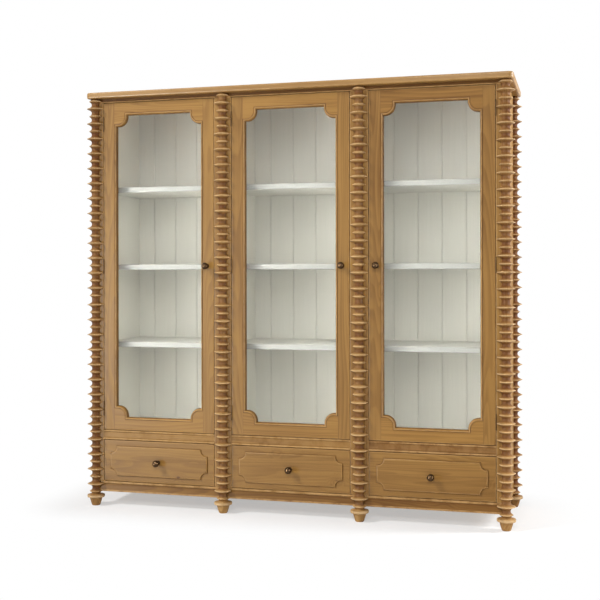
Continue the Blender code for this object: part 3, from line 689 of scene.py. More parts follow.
ALONG_X = (0.0, 0.0, 0.0)
ALONG_Y = (0.0, 0.0, math.radians(-90))
ALONG_Z = (0.0, math.radians(90), 0.0)
BOARD_SHIFT = (9.7, 4.3, 6.1)  # how far the grain shifts from seed 0 to seed 1
WAX_GLOSS = 0.16
LAMP_SHARE = 0.34              # of the lamps' light that the panes let through


def new_material(name):
    """An empty material, its graph and its Principled BSDF."""
    material = bpy.data.materials.new(name)
    material.use_nodes = True
    return material, Graph(material.node_tree), material.node_tree.nodes["Principled BSDF"]


def grain_vector(graph, turn):
    """Object coordinates turned so that X runs with the grain and shifted board by board, and unturned."""
    place = graph.add("ShaderNodeTexCoord").outputs["Object"]
    with_grain = graph.add("ShaderNodeMapping", {"Vector": place, "Rotation": turn}).outputs[0]
    board = graph.attribute("board")
    shift = graph.joined(*[graph.times(board, far) for far in BOARD_SHIFT])
    return graph.vector("ADD", with_grain, shift), place


def aged(graph, vector, base, worn, dirt, wear_amount, dirt_amount):
    """Handling wear and a dark film over a colour, where the piece's points are worn or hollow. On the wood
    and the paint the film in hollows and gaps is painted shade together with old wax; on the bronze it is
    dirt.
    """
    return graph.place(handling_group(), Vector=vector, Color=base, Worn=worn, Dirt=dirt,
                       Wear=graph.attribute("wear"), Hollow=graph.attribute("hollow"),
                       Wear_Amount=wear_amount, Dirt_Amount=dirt_amount)


def pine_wood(graph, vector, shades, contrast, knot_scale, knot_size):
    """Bare pine, whose shades name a pair of colours."""
    tints = bookcase().finishes
    return graph.place(pine_group(), Vector=vector, Light=getattr(tints, shades + "_light"),
                       Dark=getattr(tints, shades + "_dark"), Knot=tints.pine_knot, Ring_Contrast=contrast,
                       Knot_Scale=knot_scale, Knot_Size=knot_size)


def finish_pine(graph, shader, base, vector, rough, height, wear, dirt, gloss=WAX_GLOSS, polish=0.0,
                film="dirt", worn="worn"):
    """Board tone, partly painted shade, handling wear, a dark film in hollows that is partly painted shade,
    wax sheen and grain relief over pine. Film and worn name colours.
    """
    tints = bookcase().finishes
    base = graph.mix(graph.attribute("tone"), base, graph.mix(1.0, base, tints.deep, "MULTIPLY"))
    waxed = aged(graph, vector, base, getattr(tints, worn), getattr(tints, film), wear, dirt)
    dull = graph.line(waxed["Dirt Mask"], 0.12, graph.calc("SUBTRACT", rough, polish))
    dull = graph.line(waxed["Worn Mask"], -0.08, dull)
    graph.fill(shader, {"Base Color": waxed["Color"], "Roughness": dull, "Specular IOR Level": gloss,
                        "Normal": graph.bump(height, 0.25, 0.0006)})


def pine(name, turn, contrast=0.5, wear=0.6, dirt=0.6, knot_scale=3.0, knot_size=0.013, across=None,
         width=0.12, shades="pine", **finish):
    """A pine finish. Across is the object axis along which boards of the width are glued."""
    tints = bookcase().finishes
    material, graph, shader = new_material(name)
    vector, place = grain_vector(graph, turn)
    if across is not None:
        axis = graph.add("ShaderNodeSeparateXYZ", {0: place}).outputs[across]
        boards = graph.place(boards_group(), Across=axis, Width=width, Seed=graph.attribute("board"))
        shift = graph.joined(graph.times(boards["Tone"], 5.0), graph.times(boards["Tone"], 3.0), 0.0)
        vector = graph.vector("ADD", vector, shift)
    wood = pine_wood(graph, vector, shades, contrast, knot_scale, knot_size)
    base = wood["Color"]
    if across is not None:
        darker = graph.mix(1.0, base, tints.glued, "MULTIPLY")
        base = graph.mix(graph.times(boards["Tone"], 0.35), base, darker)
        base = graph.mix(graph.times(boards["Joint"], 0.7), base, tints.dirt)
    finish_pine(graph, shader, base, vector, wood["Roughness"], wood["Height"], wear, dirt, **finish)
    return material


def framed_pine(name, sizes):
    """Pine of a door frame: rails with level grain between upright stiles, and a line at each joint."""
    material, graph, shader = new_material(name)
    joint_x = DOOR_WIDTH / 2 - sizes.stile_face
    bracket_z = (DOOR_HIGH - DOOR_LOW) / 2 - sizes.rail_face - sizes.moulding_width
    bracket_z -= sizes.bracket_radius + sizes.bracket_step
    upright, place = grain_vector(graph, ALONG_Z)
    level, _ = grain_vector(graph, ALONG_X)
    across = graph.calc("ABSOLUTE", graph.attribute("across"))
    height = graph.add("ShaderNodeSeparateXYZ", {0: place}).outputs["Z"]
    rise = graph.calc("ABSOLUTE", graph.calc("SUBTRACT", height, DOOR_MIDDLE))
    ends = graph.calc("GREATER_THAN", rise, bracket_z)
    rail = graph.times(graph.calc("LESS_THAN", across, joint_x), ends)
    off_joint = graph.calc("ABSOLUTE", graph.calc("SUBTRACT", across, joint_x))
    joint = graph.times(graph.ramp(off_joint, 0.0011, 0.0002), ends)
    stile_wood = pine_wood(graph, upright, "pine", 0.36, 2.2, 0.010)
    rail_wood = pine_wood(graph, level, "pine", 0.36, 2.2, 0.010)
    paler = graph.mix(1.0, rail_wood["Color"], (1.06, 1.05, 1.0), "MULTIPLY")
    base = graph.mix(rail, stile_wood["Color"], paler)
    base = graph.mix(graph.times(joint, 0.55), base, bookcase().finishes.dirt)
    rough, relief = [graph.between(rail, stile_wood[key], rail_wood[key]) for key in ("Roughness", "Height")]
    relief = graph.line(joint, -1.5, relief)
    finish_pine(graph, shader, base, upright, rough, relief, 0.55, 0.8)
    return material


@cache
def painted(name, share=1.0, dirt=0.4):
    """Pale brushed paint, with painted shade in the grooves, rubbed on the edges. Share dims the colour,
    which the shelves use as painted shade.
    """
    tints = bookcase().finishes
    material, graph, shader = new_material(name)
    vector, _ = grain_vector(graph, ALONG_X)
    paint = np.array(tints.paint) * share
    coat = graph.place(paint_group(), Vector=vector, Paint=paint, Shade=tints.paint_shade)
    rubbed = aged(graph, vector, coat["Color"], paint * 0.9, tints.paint_shade, 0.5, dirt)
    graph.fill(shader, {"Base Color": rubbed["Color"], "Roughness": coat["Roughness"],
                        "Normal": graph.bump(coat["Height"], 0.18, 0.0004)})
    return material


def bronzed(name, least, most):
    """Dark bronze, rubbed brighter in patches, whose roughness runs from least to most."""
    tints = bookcase().finishes
    material, graph, shader = new_material(name)
    vector, _ = grain_vector(graph, ALONG_X)
    cloud = graph.ramp(graph.noise(vector, 60.0, 3.0), 0.35, 0.75)
    film = graph.mix(cloud, tints.bronze, np.array(tints.bronze) * 0.6)
    rubbed = aged(graph, vector, film, tints.bronze_worn, tints.bronze_dirt, 0.8, 0.8)
    dull = graph.ramp(graph.noise(vector, 140.0, 2.0), 0.2, 0.8, least, most)
    pits = graph.noise(vector, 320.0, 2.0)
    graph.fill(shader, {"Base Color": rubbed["Color"], "Metallic": 0.9, "Roughness": dull,
                        "Normal": graph.bump(pits, 0.12, 0.0003)})
    return material


def glazing(name):
    """Clear window glass. Shadow rays find its alpha less than 1, and a share of the lamps' light passes."""
    material, graph, shader = new_material(name)
    lamp_ray = graph.add("ShaderNodeLightPath").outputs["Is Shadow Ray"]
    graph.fill(shader, {"Base Color": bookcase().finishes.glass, "Transmission Weight": 1.0, "IOR": 1.45,
                        "Alpha": graph.line(lamp_ray, -LAMP_SHARE, 1.0), "Roughness": 0.0})
    return material


# Stage

WHITE = (1.0, 1.0, 1.0)
FLOOR_SHADES = ((0.90, 0.90, 0.90), (0.93, 0.93, 0.93))
FLOOR_REACH = 14.0
FLOOR_LINES = 29
SENSOR = 36.0  # millimetres
FARTHEST = 100.0

# Each lamp's place, the place it faces, its width and height, and whether it lights gloss only
LAMPS = {"key": ((-6.2, -5.4, 7.4), (0.0, -0.2, 1.0), (2.4, 2.4), False),
         "sheen": ((-4.6, -5.4, 0.45), (-0.5, -0.2, 0.6), (1.4, 1.2), True),
         "rim": ((4.8, -1.2, 1.5), (1.0, -0.2, 1.1), (1.6, 2.2), True),
         "side": ((4.6, 0.9, 2.6), (1.0, 0.0, 1.1), (0.9, 1.6), False),
         "fill": ((1.3, -7.2, 4.2), (0.0, 0.0, 1.1), (2.2, 1.4), False)}


class BOOKCASE_OT_stage(bpy.types.Operator):
    """Lay the floor, hang the lamps and set the camera"""
    bl_idname = "bookcase.stage"
    bl_label = "Stage"

    def execute(self, context):
        settings = context.scene.bookcase.stage
        context.scene.view_settings.view_transform = "Standard"
        lay_floor(settings)
        light_surround(context.scene, settings)
        for name, values in LAMPS.items():
            hang_lamp(name + "_lamp", *values, getattr(settings, name + "_power"))
        set_camera(context.scene, settings)
        return {"FINISHED"}


def seen_ray(graph):
    """1 for rays that show the background: straight to the camera, or by way of gloss or glass."""
    path = graph.add("ShaderNodeLightPath").outputs
    total = graph.calc("ADD", path["Is Camera Ray"], path["Is Glossy Ray"])
    return graph.calc("ADD", total, path["Is Transmission Ray"], clamp=True)


def lay_floor(settings):
    """A square floor, z = 0. Seen rays find it white but for the shadow near the case."""
    side = np.linspace(-FLOOR_REACH, FLOOR_REACH, FLOOR_LINES)
    x, y = np.meshgrid(side, side, indexing="ij")
    points = np.stack([x, y, np.zeros_like(x)], axis=-1)
    index = np.arange(x.size).reshape(x.shape)
    quads = np.stack([index[:-1, :-1], index[1:, :-1], index[1:, 1:], index[:-1, 1:]], axis=-1)
    mesh = bpy.data.meshes.new("floor")
    mesh.from_pydata(points.reshape(-1, 3).tolist(), [], quads.reshape(-1, 4).tolist())
    floor = bpy.data.objects.new("floor", mesh)
    bpy.context.scene.collection.objects.link(floor)
    material, graph, shader = new_material("pale_floor")
    mesh.materials.append(material)
    place = graph.add("ShaderNodeTexCoord").outputs["Object"]
    mottle = graph.ramp(graph.noise(place, 3.0, 3.0), 0.3, 0.7)
    graph.fill(shader, {"Base Color": graph.mix(mottle, *FLOOR_SHADES), "Roughness": 0.9,
                        "Specular IOR Level": 0.0})
    beyond = graph.vector("SUBTRACT", graph.vector("ABSOLUTE", place), (HALF_WIDTH, REAR, 0.0))
    beyond = graph.vector("MAXIMUM", beyond, (0.0, 0.0, 0.0))
    away = graph.add("ShaderNodeVectorMath", {0: beyond}, operation="LENGTH").outputs["Value"]
    near = graph.ramp(away, settings.shadow_reach, 0.0, 0.0, settings.shadow)
    share = graph.times(graph.calc("SUBTRACT", 1.0, near), seen_ray(graph))
    white = graph.add("ShaderNodeEmission", {"Color": WHITE, "Strength": 1.0})
    blended = graph.add("ShaderNodeMixShader", {0: share, 1: shader.outputs[0], 2: white.outputs[0]})
    graph.fill(material.node_tree.nodes["Material Output"], {"Surface": blended.outputs[0]})


def light_surround(scene, settings):
    """Even light from all round, seen as plain white."""
    world = bpy.data.worlds.new("studio")
    world.use_nodes = True
    scene.world = world
    graph = Graph(world.node_tree)
    strength = graph.ramp(seen_ray(graph), 0.0, 1.0, settings.surround, 1.0)
    graph.fill(world.node_tree.nodes["Background"], {"Color": WHITE, "Strength": strength})


def hang_lamp(name, place, target, size, gloss_only, energy):
    """A soft rectangular lamp turned to its target, which doesn't show itself in or through the panes."""
    lamp = bpy.data.lights.new(name, "AREA")
    lamp.shape = "RECTANGLE"
    lamp.size, lamp.size_y = size
    lamp.energy = energy
    lamp.cycles.use_multiple_importance_sampling = False
    holder = bpy.data.objects.new(name, lamp)
    holder.visible_transmission = False
    holder.visible_diffuse = not gloss_only
    bpy.context.scene.collection.objects.link(holder)
    holder.location = place
    holder.rotation_euler = (Vector(target) - Vector(place)).to_track_quat("-Z", "Y").to_euler()


def set_camera(scene, settings):
    """A level camera, turned to the left and shifted down."""
    lens = bpy.data.cameras.new("camera")
    lens.sensor_fit = "HORIZONTAL"
    lens.sensor_width = SENSOR
    lens.lens = settings.focal
    lens.shift_y = settings.rise
    lens.clip_end = FARTHEST
    camera = bpy.data.objects.new("camera", lens)
    scene.collection.objects.link(camera)
    upright = Matrix.Rotation(math.radians(90), 3, "X")
    facing = Matrix.Rotation(settings.turn, 3, "Z") @ upright @ Matrix.Rotation(settings.roll, 3, "Z")
    camera.location = settings.camera_at
    camera.rotation_euler = facing.to_euler()
    scene.camera = camera


# Turned columns

FLANK_SHARES = np.array([0.0, 0.06, 0.14, 0.25, 0.38, 0.53, 0.7, 0.86, 1.0])  # rows along a disc's flank
RIM_SHARES = np.array([0.0, 0.45, 0.8])                                       # and over half its rim
FLANGE_HALF = 0.0059   # half the height of a foot's flange
FLANGE_EASE = 0.0027   # round on the flange
FLANGE_LIP = 0.0015    # from the cove under the flange out to its radius
COVE = 0.0064          # height of that cove
COVE_POWER = 2.2
TAPER_RADIUS = 0.0315  # of the foot under the cove
TAPER_POWER = 0.85
TIP_EASE = 0.0016      # round on a foot's tip
NECK_POWER = 1.8
NECK_OVER_CORE = 0.002
WORN_LIP = 0.003       # outer part of the flange that is worn
WORN_FALL = 0.72       # part of a disc's fall above which it is worn
SHADE_RADIUS = 0.026    # of a foot's neck, within which painted shade darkens it
SHADE_BAND = 0.005
SHADE_LOW = 0.05
FOOT_SHADE = 0.5


def disc_levels(sizes):
    """Heights of the discs, and which are large: two turned lengths, from the head down and the foot up."""
    highest = CARCASS_TOP - sizes.head
    span = highest - sizes.lowest_disc
    pairs = int((span - sizes.least_splice + sizes.spacing) / (4 * sizes.spacing))
    upper = np.arange(2 * pairs + 1)
    lower = np.arange(2 * pairs)
    heights = np.concatenate([highest - upper * sizes.spacing, sizes.lowest_disc + lower * sizes.spacing])
    return heights, np.concatenate([upper, lower]) % 2 == 1


def shaft_profile(sizes, bottom, top):
    """Radius by height above the foot.

    A disc stands over the core by its rim, a half circle, and by a flank that falls as
    (1 - distance / reach) to a power. The radius is the largest that any disc gives, and so is the fall.
    """
    heights, large = disc_levels(sizes)
    radii = np.where(large, sizes.large_radius, sizes.small_radius)
    reach = np.where(large, sizes.large_flank, sizes.small_flank)
    flank = sizes.rim + (reach[:, None] - sizes.rim) * FLANK_SHARES
    cap = np.broadcast_to(sizes.rim * RIM_SHARES, (len(heights), len(RIM_SHARES)))
    offsets = np.concatenate([flank, cap], axis=1)
    levels = np.concatenate([heights[:, None] + offsets, heights[:, None] - offsets], axis=1).ravel()
    levels = levels[(levels > bottom + FIT) & (levels < top - FIT)]
    levels = np.unique(np.round(np.concatenate([levels, [bottom, top]]), 6))
    distance = np.abs(levels[:, None] - heights)
    fall = np.clip((reach - distance) / (reach - sizes.rim), 0, 1) ** sizes.hollow
    round_rim = np.sqrt(np.clip(sizes.rim ** 2 - distance ** 2, 0, None))
    radius = sizes.core_radius + (radii - sizes.rim - sizes.core_radius) * fall + round_rim
    return levels, radius.max(axis=1), fall.max(axis=1)


def foot_profile(sizes, top):
    """Radius by height of a foot.

    A taper swells a little from the tip, as a power of the height under 1, a cove runs out as a power over 1,
    the flange is part of an oval, and the neck draws in by a power of the way from its ends to its middle.
    """
    low = sizes.flange_height - FLANGE_HALF
    high = sizes.flange_height + FLANGE_HALF
    taper = np.linspace(0, 1, 9)
    taper_z = TIP_EASE + (low - COVE - TIP_EASE) * taper
    taper_r = sizes.tip_radius + (TAPER_RADIUS - sizes.tip_radius) * taper ** TAPER_POWER
    cove = np.linspace(0, 1, 5)[1:-1]
    cove_z = taper_z[-1] + (low - taper_z[-1]) * cove
    cove_r = taper_r[-1] + (sizes.flange_radius - FLANGE_LIP - taper_r[-1]) * cove ** COVE_POWER
    turn = np.radians(np.linspace(-60, 60, 7))
    rim_z = sizes.flange_height + FLANGE_HALF * np.sin(turn) / np.sin(turn[-1])
    rim_r = sizes.flange_radius - FLANGE_EASE * (1 - np.cos(turn))
    neck = np.linspace(0, 1, 7)[1:]
    neck_z = high + (top - high) * neck
    ends = rim_r[-1] + (sizes.small_radius - rim_r[-1]) * neck
    least = sizes.core_radius + NECK_OVER_CORE
    neck_r = least + (ends - least) * np.abs(2 * neck - 1) ** NECK_POWER
    levels = np.concatenate([[0.0], taper_z, cove_z, rim_z, neck_z])
    return levels, np.concatenate([[sizes.tip_radius - TIP_EASE], taper_r, cove_r, rim_r, neck_r])


def turned_column(sizes, axis, inward, **values):
    """A column turned in the round, with a square rebate above its foot where it laps the carcass.

    Points are radius times cosine and sine of the angle. Above the foot, those inside the carcass, beyond the
    two planes through the axis, are moved onto the nearer plane, and those halfway onto the axis.
    """
    foot_top = CARCASS_BOTTOM - 2 * FIT
    foot_z, foot_r = foot_profile(sizes, foot_top)
    shaft_z, shaft_r, fall = shaft_profile(sizes, CARCASS_BOTTOM - FIT, CARCASS_TOP - FIT)
    levels = np.concatenate([foot_z, shaft_z])
    radii = np.concatenate([foot_r, shaft_r])
    angles = 2 * np.pi * np.arange(sizes.sides) / sizes.sides
    u = radii[:, None] * np.cos(angles)
    v = radii[:, None] * np.sin(angles)
    depth_u = u * inward[0] if inward[0] else np.full_like(u, np.inf)
    depth_v = v * inward[1]
    above = (levels > foot_top + FIT / 2)[:, None]
    inside = above & (depth_u > -FIT) & (depth_v > -FIT)
    halfway = np.isclose(depth_u, depth_v, atol=1e-7)
    v = np.where(inside & ((depth_u > depth_v) | halfway), -FIT * inward[1], v)
    u = np.where(inside & ((depth_u < depth_v) | halfway), -FIT * inward[0], u)
    points = np.stack([u + axis[0], v + axis[1], np.broadcast_to(levels[:, None], u.shape)], axis=-1)
    # Wear pales the flange's lip and the disc rims; painted shade darkens the core between the discs and the
    # foot's neck
    foot_wear = np.clip((foot_r - sizes.flange_radius + WORN_LIP) / WORN_LIP, 0, 1)
    foot_shade = FOOT_SHADE * np.clip((SHADE_RADIUS - foot_r) / SHADE_BAND, 0, 1) * (foot_z > SHADE_LOW)
    wear = np.concatenate([foot_wear, np.clip((fall - WORN_FALL) / (1 - WORN_FALL), 0, 1)])
    hollow = np.concatenate([foot_shade, np.clip(1.3 - 2.0 * fall, 0, 1)])
    return shell(points, wear=wear, hollow=hollow, **values)


class BOOKCASE_OT_columns(bpy.types.Operator):
    """Turn the six columns"""
    bl_idname = "bookcase.columns"
    bl_label = "Turned columns"

    def execute(self, context):
        sizes = context.scene.bookcase.columns
        # The pale worn rims are partly painted highlights, and the reddish film in the hollows is painted
        # shade
        wood = pine("turned_pine", ALONG_Z, contrast=0.35, dirt=0.9, knot_scale=2.0, knot_size=0.006,
                    shades="turning", gloss=0.1, polish=0.06, film="turning_film", worn="turning_worn")
        for index, name in enumerate(AXES):
            node = name + "_column"
            axis = limits(node).mean(axis=0)[:2]
            across = 0 if name.startswith("centre") else -np.sign(axis[0])
            inward = (across, 1 if axis[1] < 0 else -1)
            column = turned_column(sizes, axis, inward, board=seed("column", index), tone=COLUMN_TONES[name])
            make_piece("turned_" + node, [column], [wood], CARCASS, [node])
        return {"FINISHED"}


# Carcass

TOP_BAND = 0.008       # worn band of the top board
INNER_FACE = 0.9       # how far a side panel's face turns inwards to be painted
STOP_INSET = 0.006     # from the ends of a bay's floor to its frieze stop
STRIP_ROUND = 0.001    # rounds and quirks of the rails
STRIP_QUIRK = np.array([0.0006, 0.0008])
COVE_LIP = 0.0014
FRIEZE_ROUND = 0.0012
FRIEZE_QUIRK = 0.0006
WAIST_LAP = 0.0022     # how far a waist rail runs past its drawer's ends
WAIST_QUIRK = (0.0012, 0.0008, 0.002)  # its depth, and its near and far edges from the bead


def make_board(node, thin, materials, slot, board, more=(), choose=None, span=None, **shape):
    """A node as a board with eased edges, between its own limits or those of the span."""
    low, high = limits(node) if span is None else span
    plank = eased_board(low, high, thin, board=board, **shape)
    make_piece("eased_" + node, [plank, *more], materials, CARCASS, [node], choose)


class BOOKCASE_OT_top(bpy.types.Operator):
    """Make the top board"""
    bl_idname = "bookcase.top"
    bl_label = "Top board"

    def execute(self, context):
        sizes = context.scene.bookcase.boards
        wood = pine("top_pine", ALONG_X, contrast=0.12, wear=0.5, across=1, width=0.118, gloss=0.3,
                    polish=0.1)
        make_board("top_board", 2, [wood], WAXED, seed("top"), ease=sizes.top_ease, band=TOP_BAND,
                   corner=sizes.top_corner, steps=7)
        return {"FINISHED"}


def door_stop(sizes, left, right, bottom, top, board):
    """A strip behind the front that a door closes against."""
    front = FRONT_BACK + sizes.stop_gap
    # Its darker tone and darkened sides are painted shade, seen through the gap round a closed door
    return eased_board((left, front, bottom), (right, front + sizes.stop_depth, top), 1, board=board,
                       tone=STOP_SHADE_TONE, grime=1.0)


def upright_stops(sizes, name, board):
    """Stops behind a stile, from the board it meets to just behind the doors, over the bay floors."""
    left, right = limits(name + "_stile")[:, 0] + (-sizes.stop_lap, sizes.stop_lap)
    if name.startswith("centre"):
        panel = limits(name.split("_")[1] + "_partition")[:, 0]
        sides = [(left, panel[0] - FIT), (panel[1] + FIT, right)]
    elif name == "front_left":
        sides = [(limits("left_side_panel")[1, 0] + FIT, right)]
    else:
        sides = [(left, limits("right_side_panel")[0, 0] - FIT)]
    bottom = limits("left_bay_floor")[1, 2] + FIT
    return [door_stop(sizes, *ends, bottom, DOOR_HIGH - sizes.stop_lap, board) for ends in sides]


class BOOKCASE_OT_boards(bpy.types.Operator):
    """Make the side panels, partitions, stiles and floor"""
    bl_idname = "bookcase.boards"
    bl_label = "Carcass boards"

    def execute(self, context):
        sizes = context.scene.bookcase.boards
        paint = painted("interior_paint", dirt=0.2)
        glued = pine("side_pine", ALONG_Z, contrast=0.4, across=1, width=0.131)
        plain = pine("upright_pine", ALONG_Z, contrast=0.45)
        for index, (side, inward) in enumerate((("left", 1), ("right", -1))):
            make_board(side + "_side_panel", 0, [glued, paint], WAXED, seed("side", index),
                       choose=lambda normals, centres: normals[:, 0] * inward > INNER_FACE)
            make_board(side + "_partition", 0, [paint], PAINTED, seed("partition", index))
        for index, name in enumerate(FRONT_AXES):
            # Painted shade darkens the stiles' sides, in the gaps beside the doors
            make_board(name + "_stile", 1, [plain], WAXED, seed("stile", index), grime=1.0,
                       more=upright_stops(sizes, name, seed("stop", index)))
        raw = pine("floor_pine", ALONG_X, contrast=0.6, across=1, width=0.14, shades="raw")
        make_board("base_floor", 2, [raw], UNWAXED, seed("base_floor"))
        return {"FINISHED"}


class BOOKCASE_OT_rails(bpy.types.Operator):
    """Make the base, frieze and waist rails"""
    bl_idname = "bookcase.rails"
    bl_label = "Moulded rails"

    def execute(self, context):
        sizes = context.scene.bookcase.rails
        wood = pine("level_pine", ALONG_X, contrast=0.5, wear=0.75, gloss=0.1)
        # The frieze's pine takes the turnings' reddish colour in its hollows, as painted shade under the top
        # board
        shaded = pine("shaded_pine", ALONG_X, contrast=0.4, dirt=0.5, gloss=0.1, film="turning_film")
        make_base_rail(sizes, wood)
        make_frieze_rail(sizes, context.scene.bookcase.boards, shaded)
        for index, bay in enumerate(BAYS):
            make_waist_rail(sizes, wood, bay, seed("waist_rail", index))
        return {"FINISHED"}


def make_base_rail(sizes, wood):
    """Base rail: under its bead the face lies back, and comes out by a quarter sine to a strip below."""
    low, high = limits("base_rail")
    strip = low[2] + sizes.base_strip
    foot = high[2] - sizes.base_bead
    share = np.linspace(0, 1, 9)
    cove_y = FRONT + COVE_LIP + (sizes.recess - COVE_LIP) * np.sin(np.pi / 2 * share)
    cove = np.stack([cove_y, strip + (foot - strip) * share], axis=1)
    front_bead = bead(FRONT + sizes.recess, foot, sizes.base_bead, sizes.recess)[1:]
    lower = [[high[1], low[2]], [FRONT + STRIP_ROUND, low[2]], [FRONT, low[2] + STRIP_ROUND],
             [FRONT, strip - STRIP_QUIRK[1]], [FRONT + STRIP_QUIRK[0], strip]]
    profile = np.concatenate([lower, cove, front_bead, [high[1:]]])
    round_wear = 0.25 + 0.6 * np.cos(np.linspace(-1.2, 1.2, len(front_bead)))
    wear = np.concatenate([[0, 0.8, 0.8, 0.7, 0.4], np.zeros(len(cove)), round_wear, [0]])
    # Painted shade darkens the cove, most just under the bead
    hollow = np.concatenate([np.zeros(5), 0.3 + 0.7 * share ** 2, [0.6], np.zeros(len(front_bead))])
    rail = drawn_out(profile, (low[0], high[0]), 0, wear, hollow, board=seed("base_rail"), tone=BASE_SHADE_TONES)
    make_piece("moulded_base_rail", [rail], [wood], CARCASS, ["base_rail"])


def make_frieze_rail(sizes, boards, wood):
    """Frieze rail: a flat behind a narrow strip, and behind it the strips that the doors close against."""
    low, high = limits("frieze_rail")
    strip = low[2] + sizes.frieze_strip
    face = FRONT + sizes.recess
    profile = np.array([[high[1], low[2]], [FRONT + FRIEZE_ROUND, low[2]], [FRONT, low[2] + FRIEZE_ROUND],
                        [FRONT, strip - FRIEZE_ROUND], [FRONT + FRIEZE_ROUND, strip],
                        [face - FRIEZE_QUIRK, strip], [face, strip + FRIEZE_QUIRK], [face, high[2]],
                        high[1:]])
    # Painted shade: the quirk and the flat darken towards the top, under the top board's overhang
    wear = np.array([0, 0.9, 0.9, 0.9, 0.9, 0, 0, 0, 0])
    hollow = np.array([0, 0, 0, 0, 0.3, 0.9, 1.0, 0.75, 0])
    rail = drawn_out(profile, (low[0], high[0]), 0, wear, hollow, board=seed("frieze_rail"),
                     tone=FRIEZE_SHADE_TONE)
    bottom = DOOR_HIGH - boards.stop_lap + FIT
    stops = []
    for index, bay in enumerate(BAYS):
        left, right = limits(bay + "_bay_floor")[:, 0] + (STOP_INSET, -STOP_INSET)
        stops.append(door_stop(boards, left, right, bottom, high[2] - FIT, seed("frieze_stop", index)))
    make_piece("moulded_frieze_rail", [rail, *stops], [wood], CARCASS, ["frieze_rail"])


def make_waist_rail(sizes, wood, bay, board):
    """Waist rail of one bay: a flat between two beads, over the front edge of the bay's floor."""
    low, high = limits(bay + "_bay_floor")
    ends = limits(bay + "_drawer_front")[:, 0] + (-WAIST_LAP, WAIST_LAP)
    back = FRONT_BACK + 2 * FIT
    lower = bead(FRONT, low[2], sizes.waist_bead, sizes.waist_projection)
    upper = bead(FRONT, high[2] - sizes.waist_top_bead, sizes.waist_top_bead, sizes.waist_top_projection)
    deep, near, far = WAIST_QUIRK
    quirks = [[FRONT + deep, lower[-1, 1] + near], [FRONT, lower[-1, 1] + far],
              [FRONT, upper[0, 1] - far], [FRONT + deep, upper[0, 1] - near]]
    profile = np.concatenate([[[back, low[2]]], lower, quirks, upper, [[back, high[2]]]])
    round_wear = 0.2 + 0.7 * np.cos(np.linspace(-1.3, 1.3, len(lower)))
    wear = np.concatenate([[0], round_wear, [0, 0.3, 0.3, 0], round_wear, [0]])
    # Painted shade in the quirks beside the beads and along the back edges, in the gaps
    hollow = np.zeros(len(profile))
    hollow[[0, 1 + len(lower), 4 + len(lower), -1]] = 1.0
    rail = drawn_out(profile, ends, 0, wear, hollow, board=board, tone=WAIST_SHADE_TONES[bay])
    make_piece(bay + "_waist_rail", [rail], [wood], CARCASS)


# Inside the case

SHELF_SHADE_SHARE = 0.82        # of the paint's colour on the shelves, dimmed as painted shade
SHELF_EDGE_SHADE_SHARE = 0.38   # and on their front edges, dimmed further as painted shade since they face the lamps
SHELF_EDGE = 0.3          # how far a shelf's face turns forwards to count as its edge
LAST_BOARD = 0.02         # least width of the last back board of a bay
GROOVE_BOTTOM = 0.0004    # half the flat at the bottom of a V
GROOVE_LIP = 0.0012       # width of its eased lips
GROOVE_FADE = 0.004       # how far painted shade reaches from them
LIP_DEPTHS = (0.0014, 0.0003)
# Painted shade down each V, from its bottom out over its lips
GROOVE_DUST_AND_SHADE = np.array([1.0, 0.7, 0.25, 0.0])
BACK_FACE = 0.1           # how far a face of the back turns forwards to be painted
BARE_DEPTH = 0.004        # of the back's edges, from the rear


class BOOKCASE_OT_inside(bpy.types.Operator):
    """Make the shelves, bay floors and back boards"""
    bl_idname = "bookcase.inside"
    bl_label = "Shelves and back"

    def execute(self, context):
        sizes = context.scene.bookcase.boards
        paint = painted("interior_paint", dirt=0.2)
        # The shelves take dimmed paint as painted shade, their front edges most
        shelf_shaded_paints = [painted("shelf_paint", SHELF_SHADE_SHARE), painted("shelf_edge_paint", SHELF_EDGE_SHADE_SHARE)]
        for index, bay in enumerate(BAYS):
            for row, level in enumerate(LEVELS):
                make_board(f"{bay}_{level}_shelf", 2, shelf_shaded_paints, PAINTED, seed("shelf", 3 * index + row),
                           ease=sizes.shelf_ease, steps=5,
                           choose=lambda normals, centres: normals[:, 1] < -SHELF_EDGE)
            low, high = limits(bay + "_bay_floor")
            thickness = np.ptp(limits(bay + "_lower_shelf")[:, 2])
            make_board(bay + "_bay_floor", 2, [paint], PAINTED, seed("bay_floor", index),
                       span=((low[0], FRONT_BACK + 3 * FIT, high[2] - thickness), high))
        make_back_boards(sizes, paint)
        return {"FINISHED"}


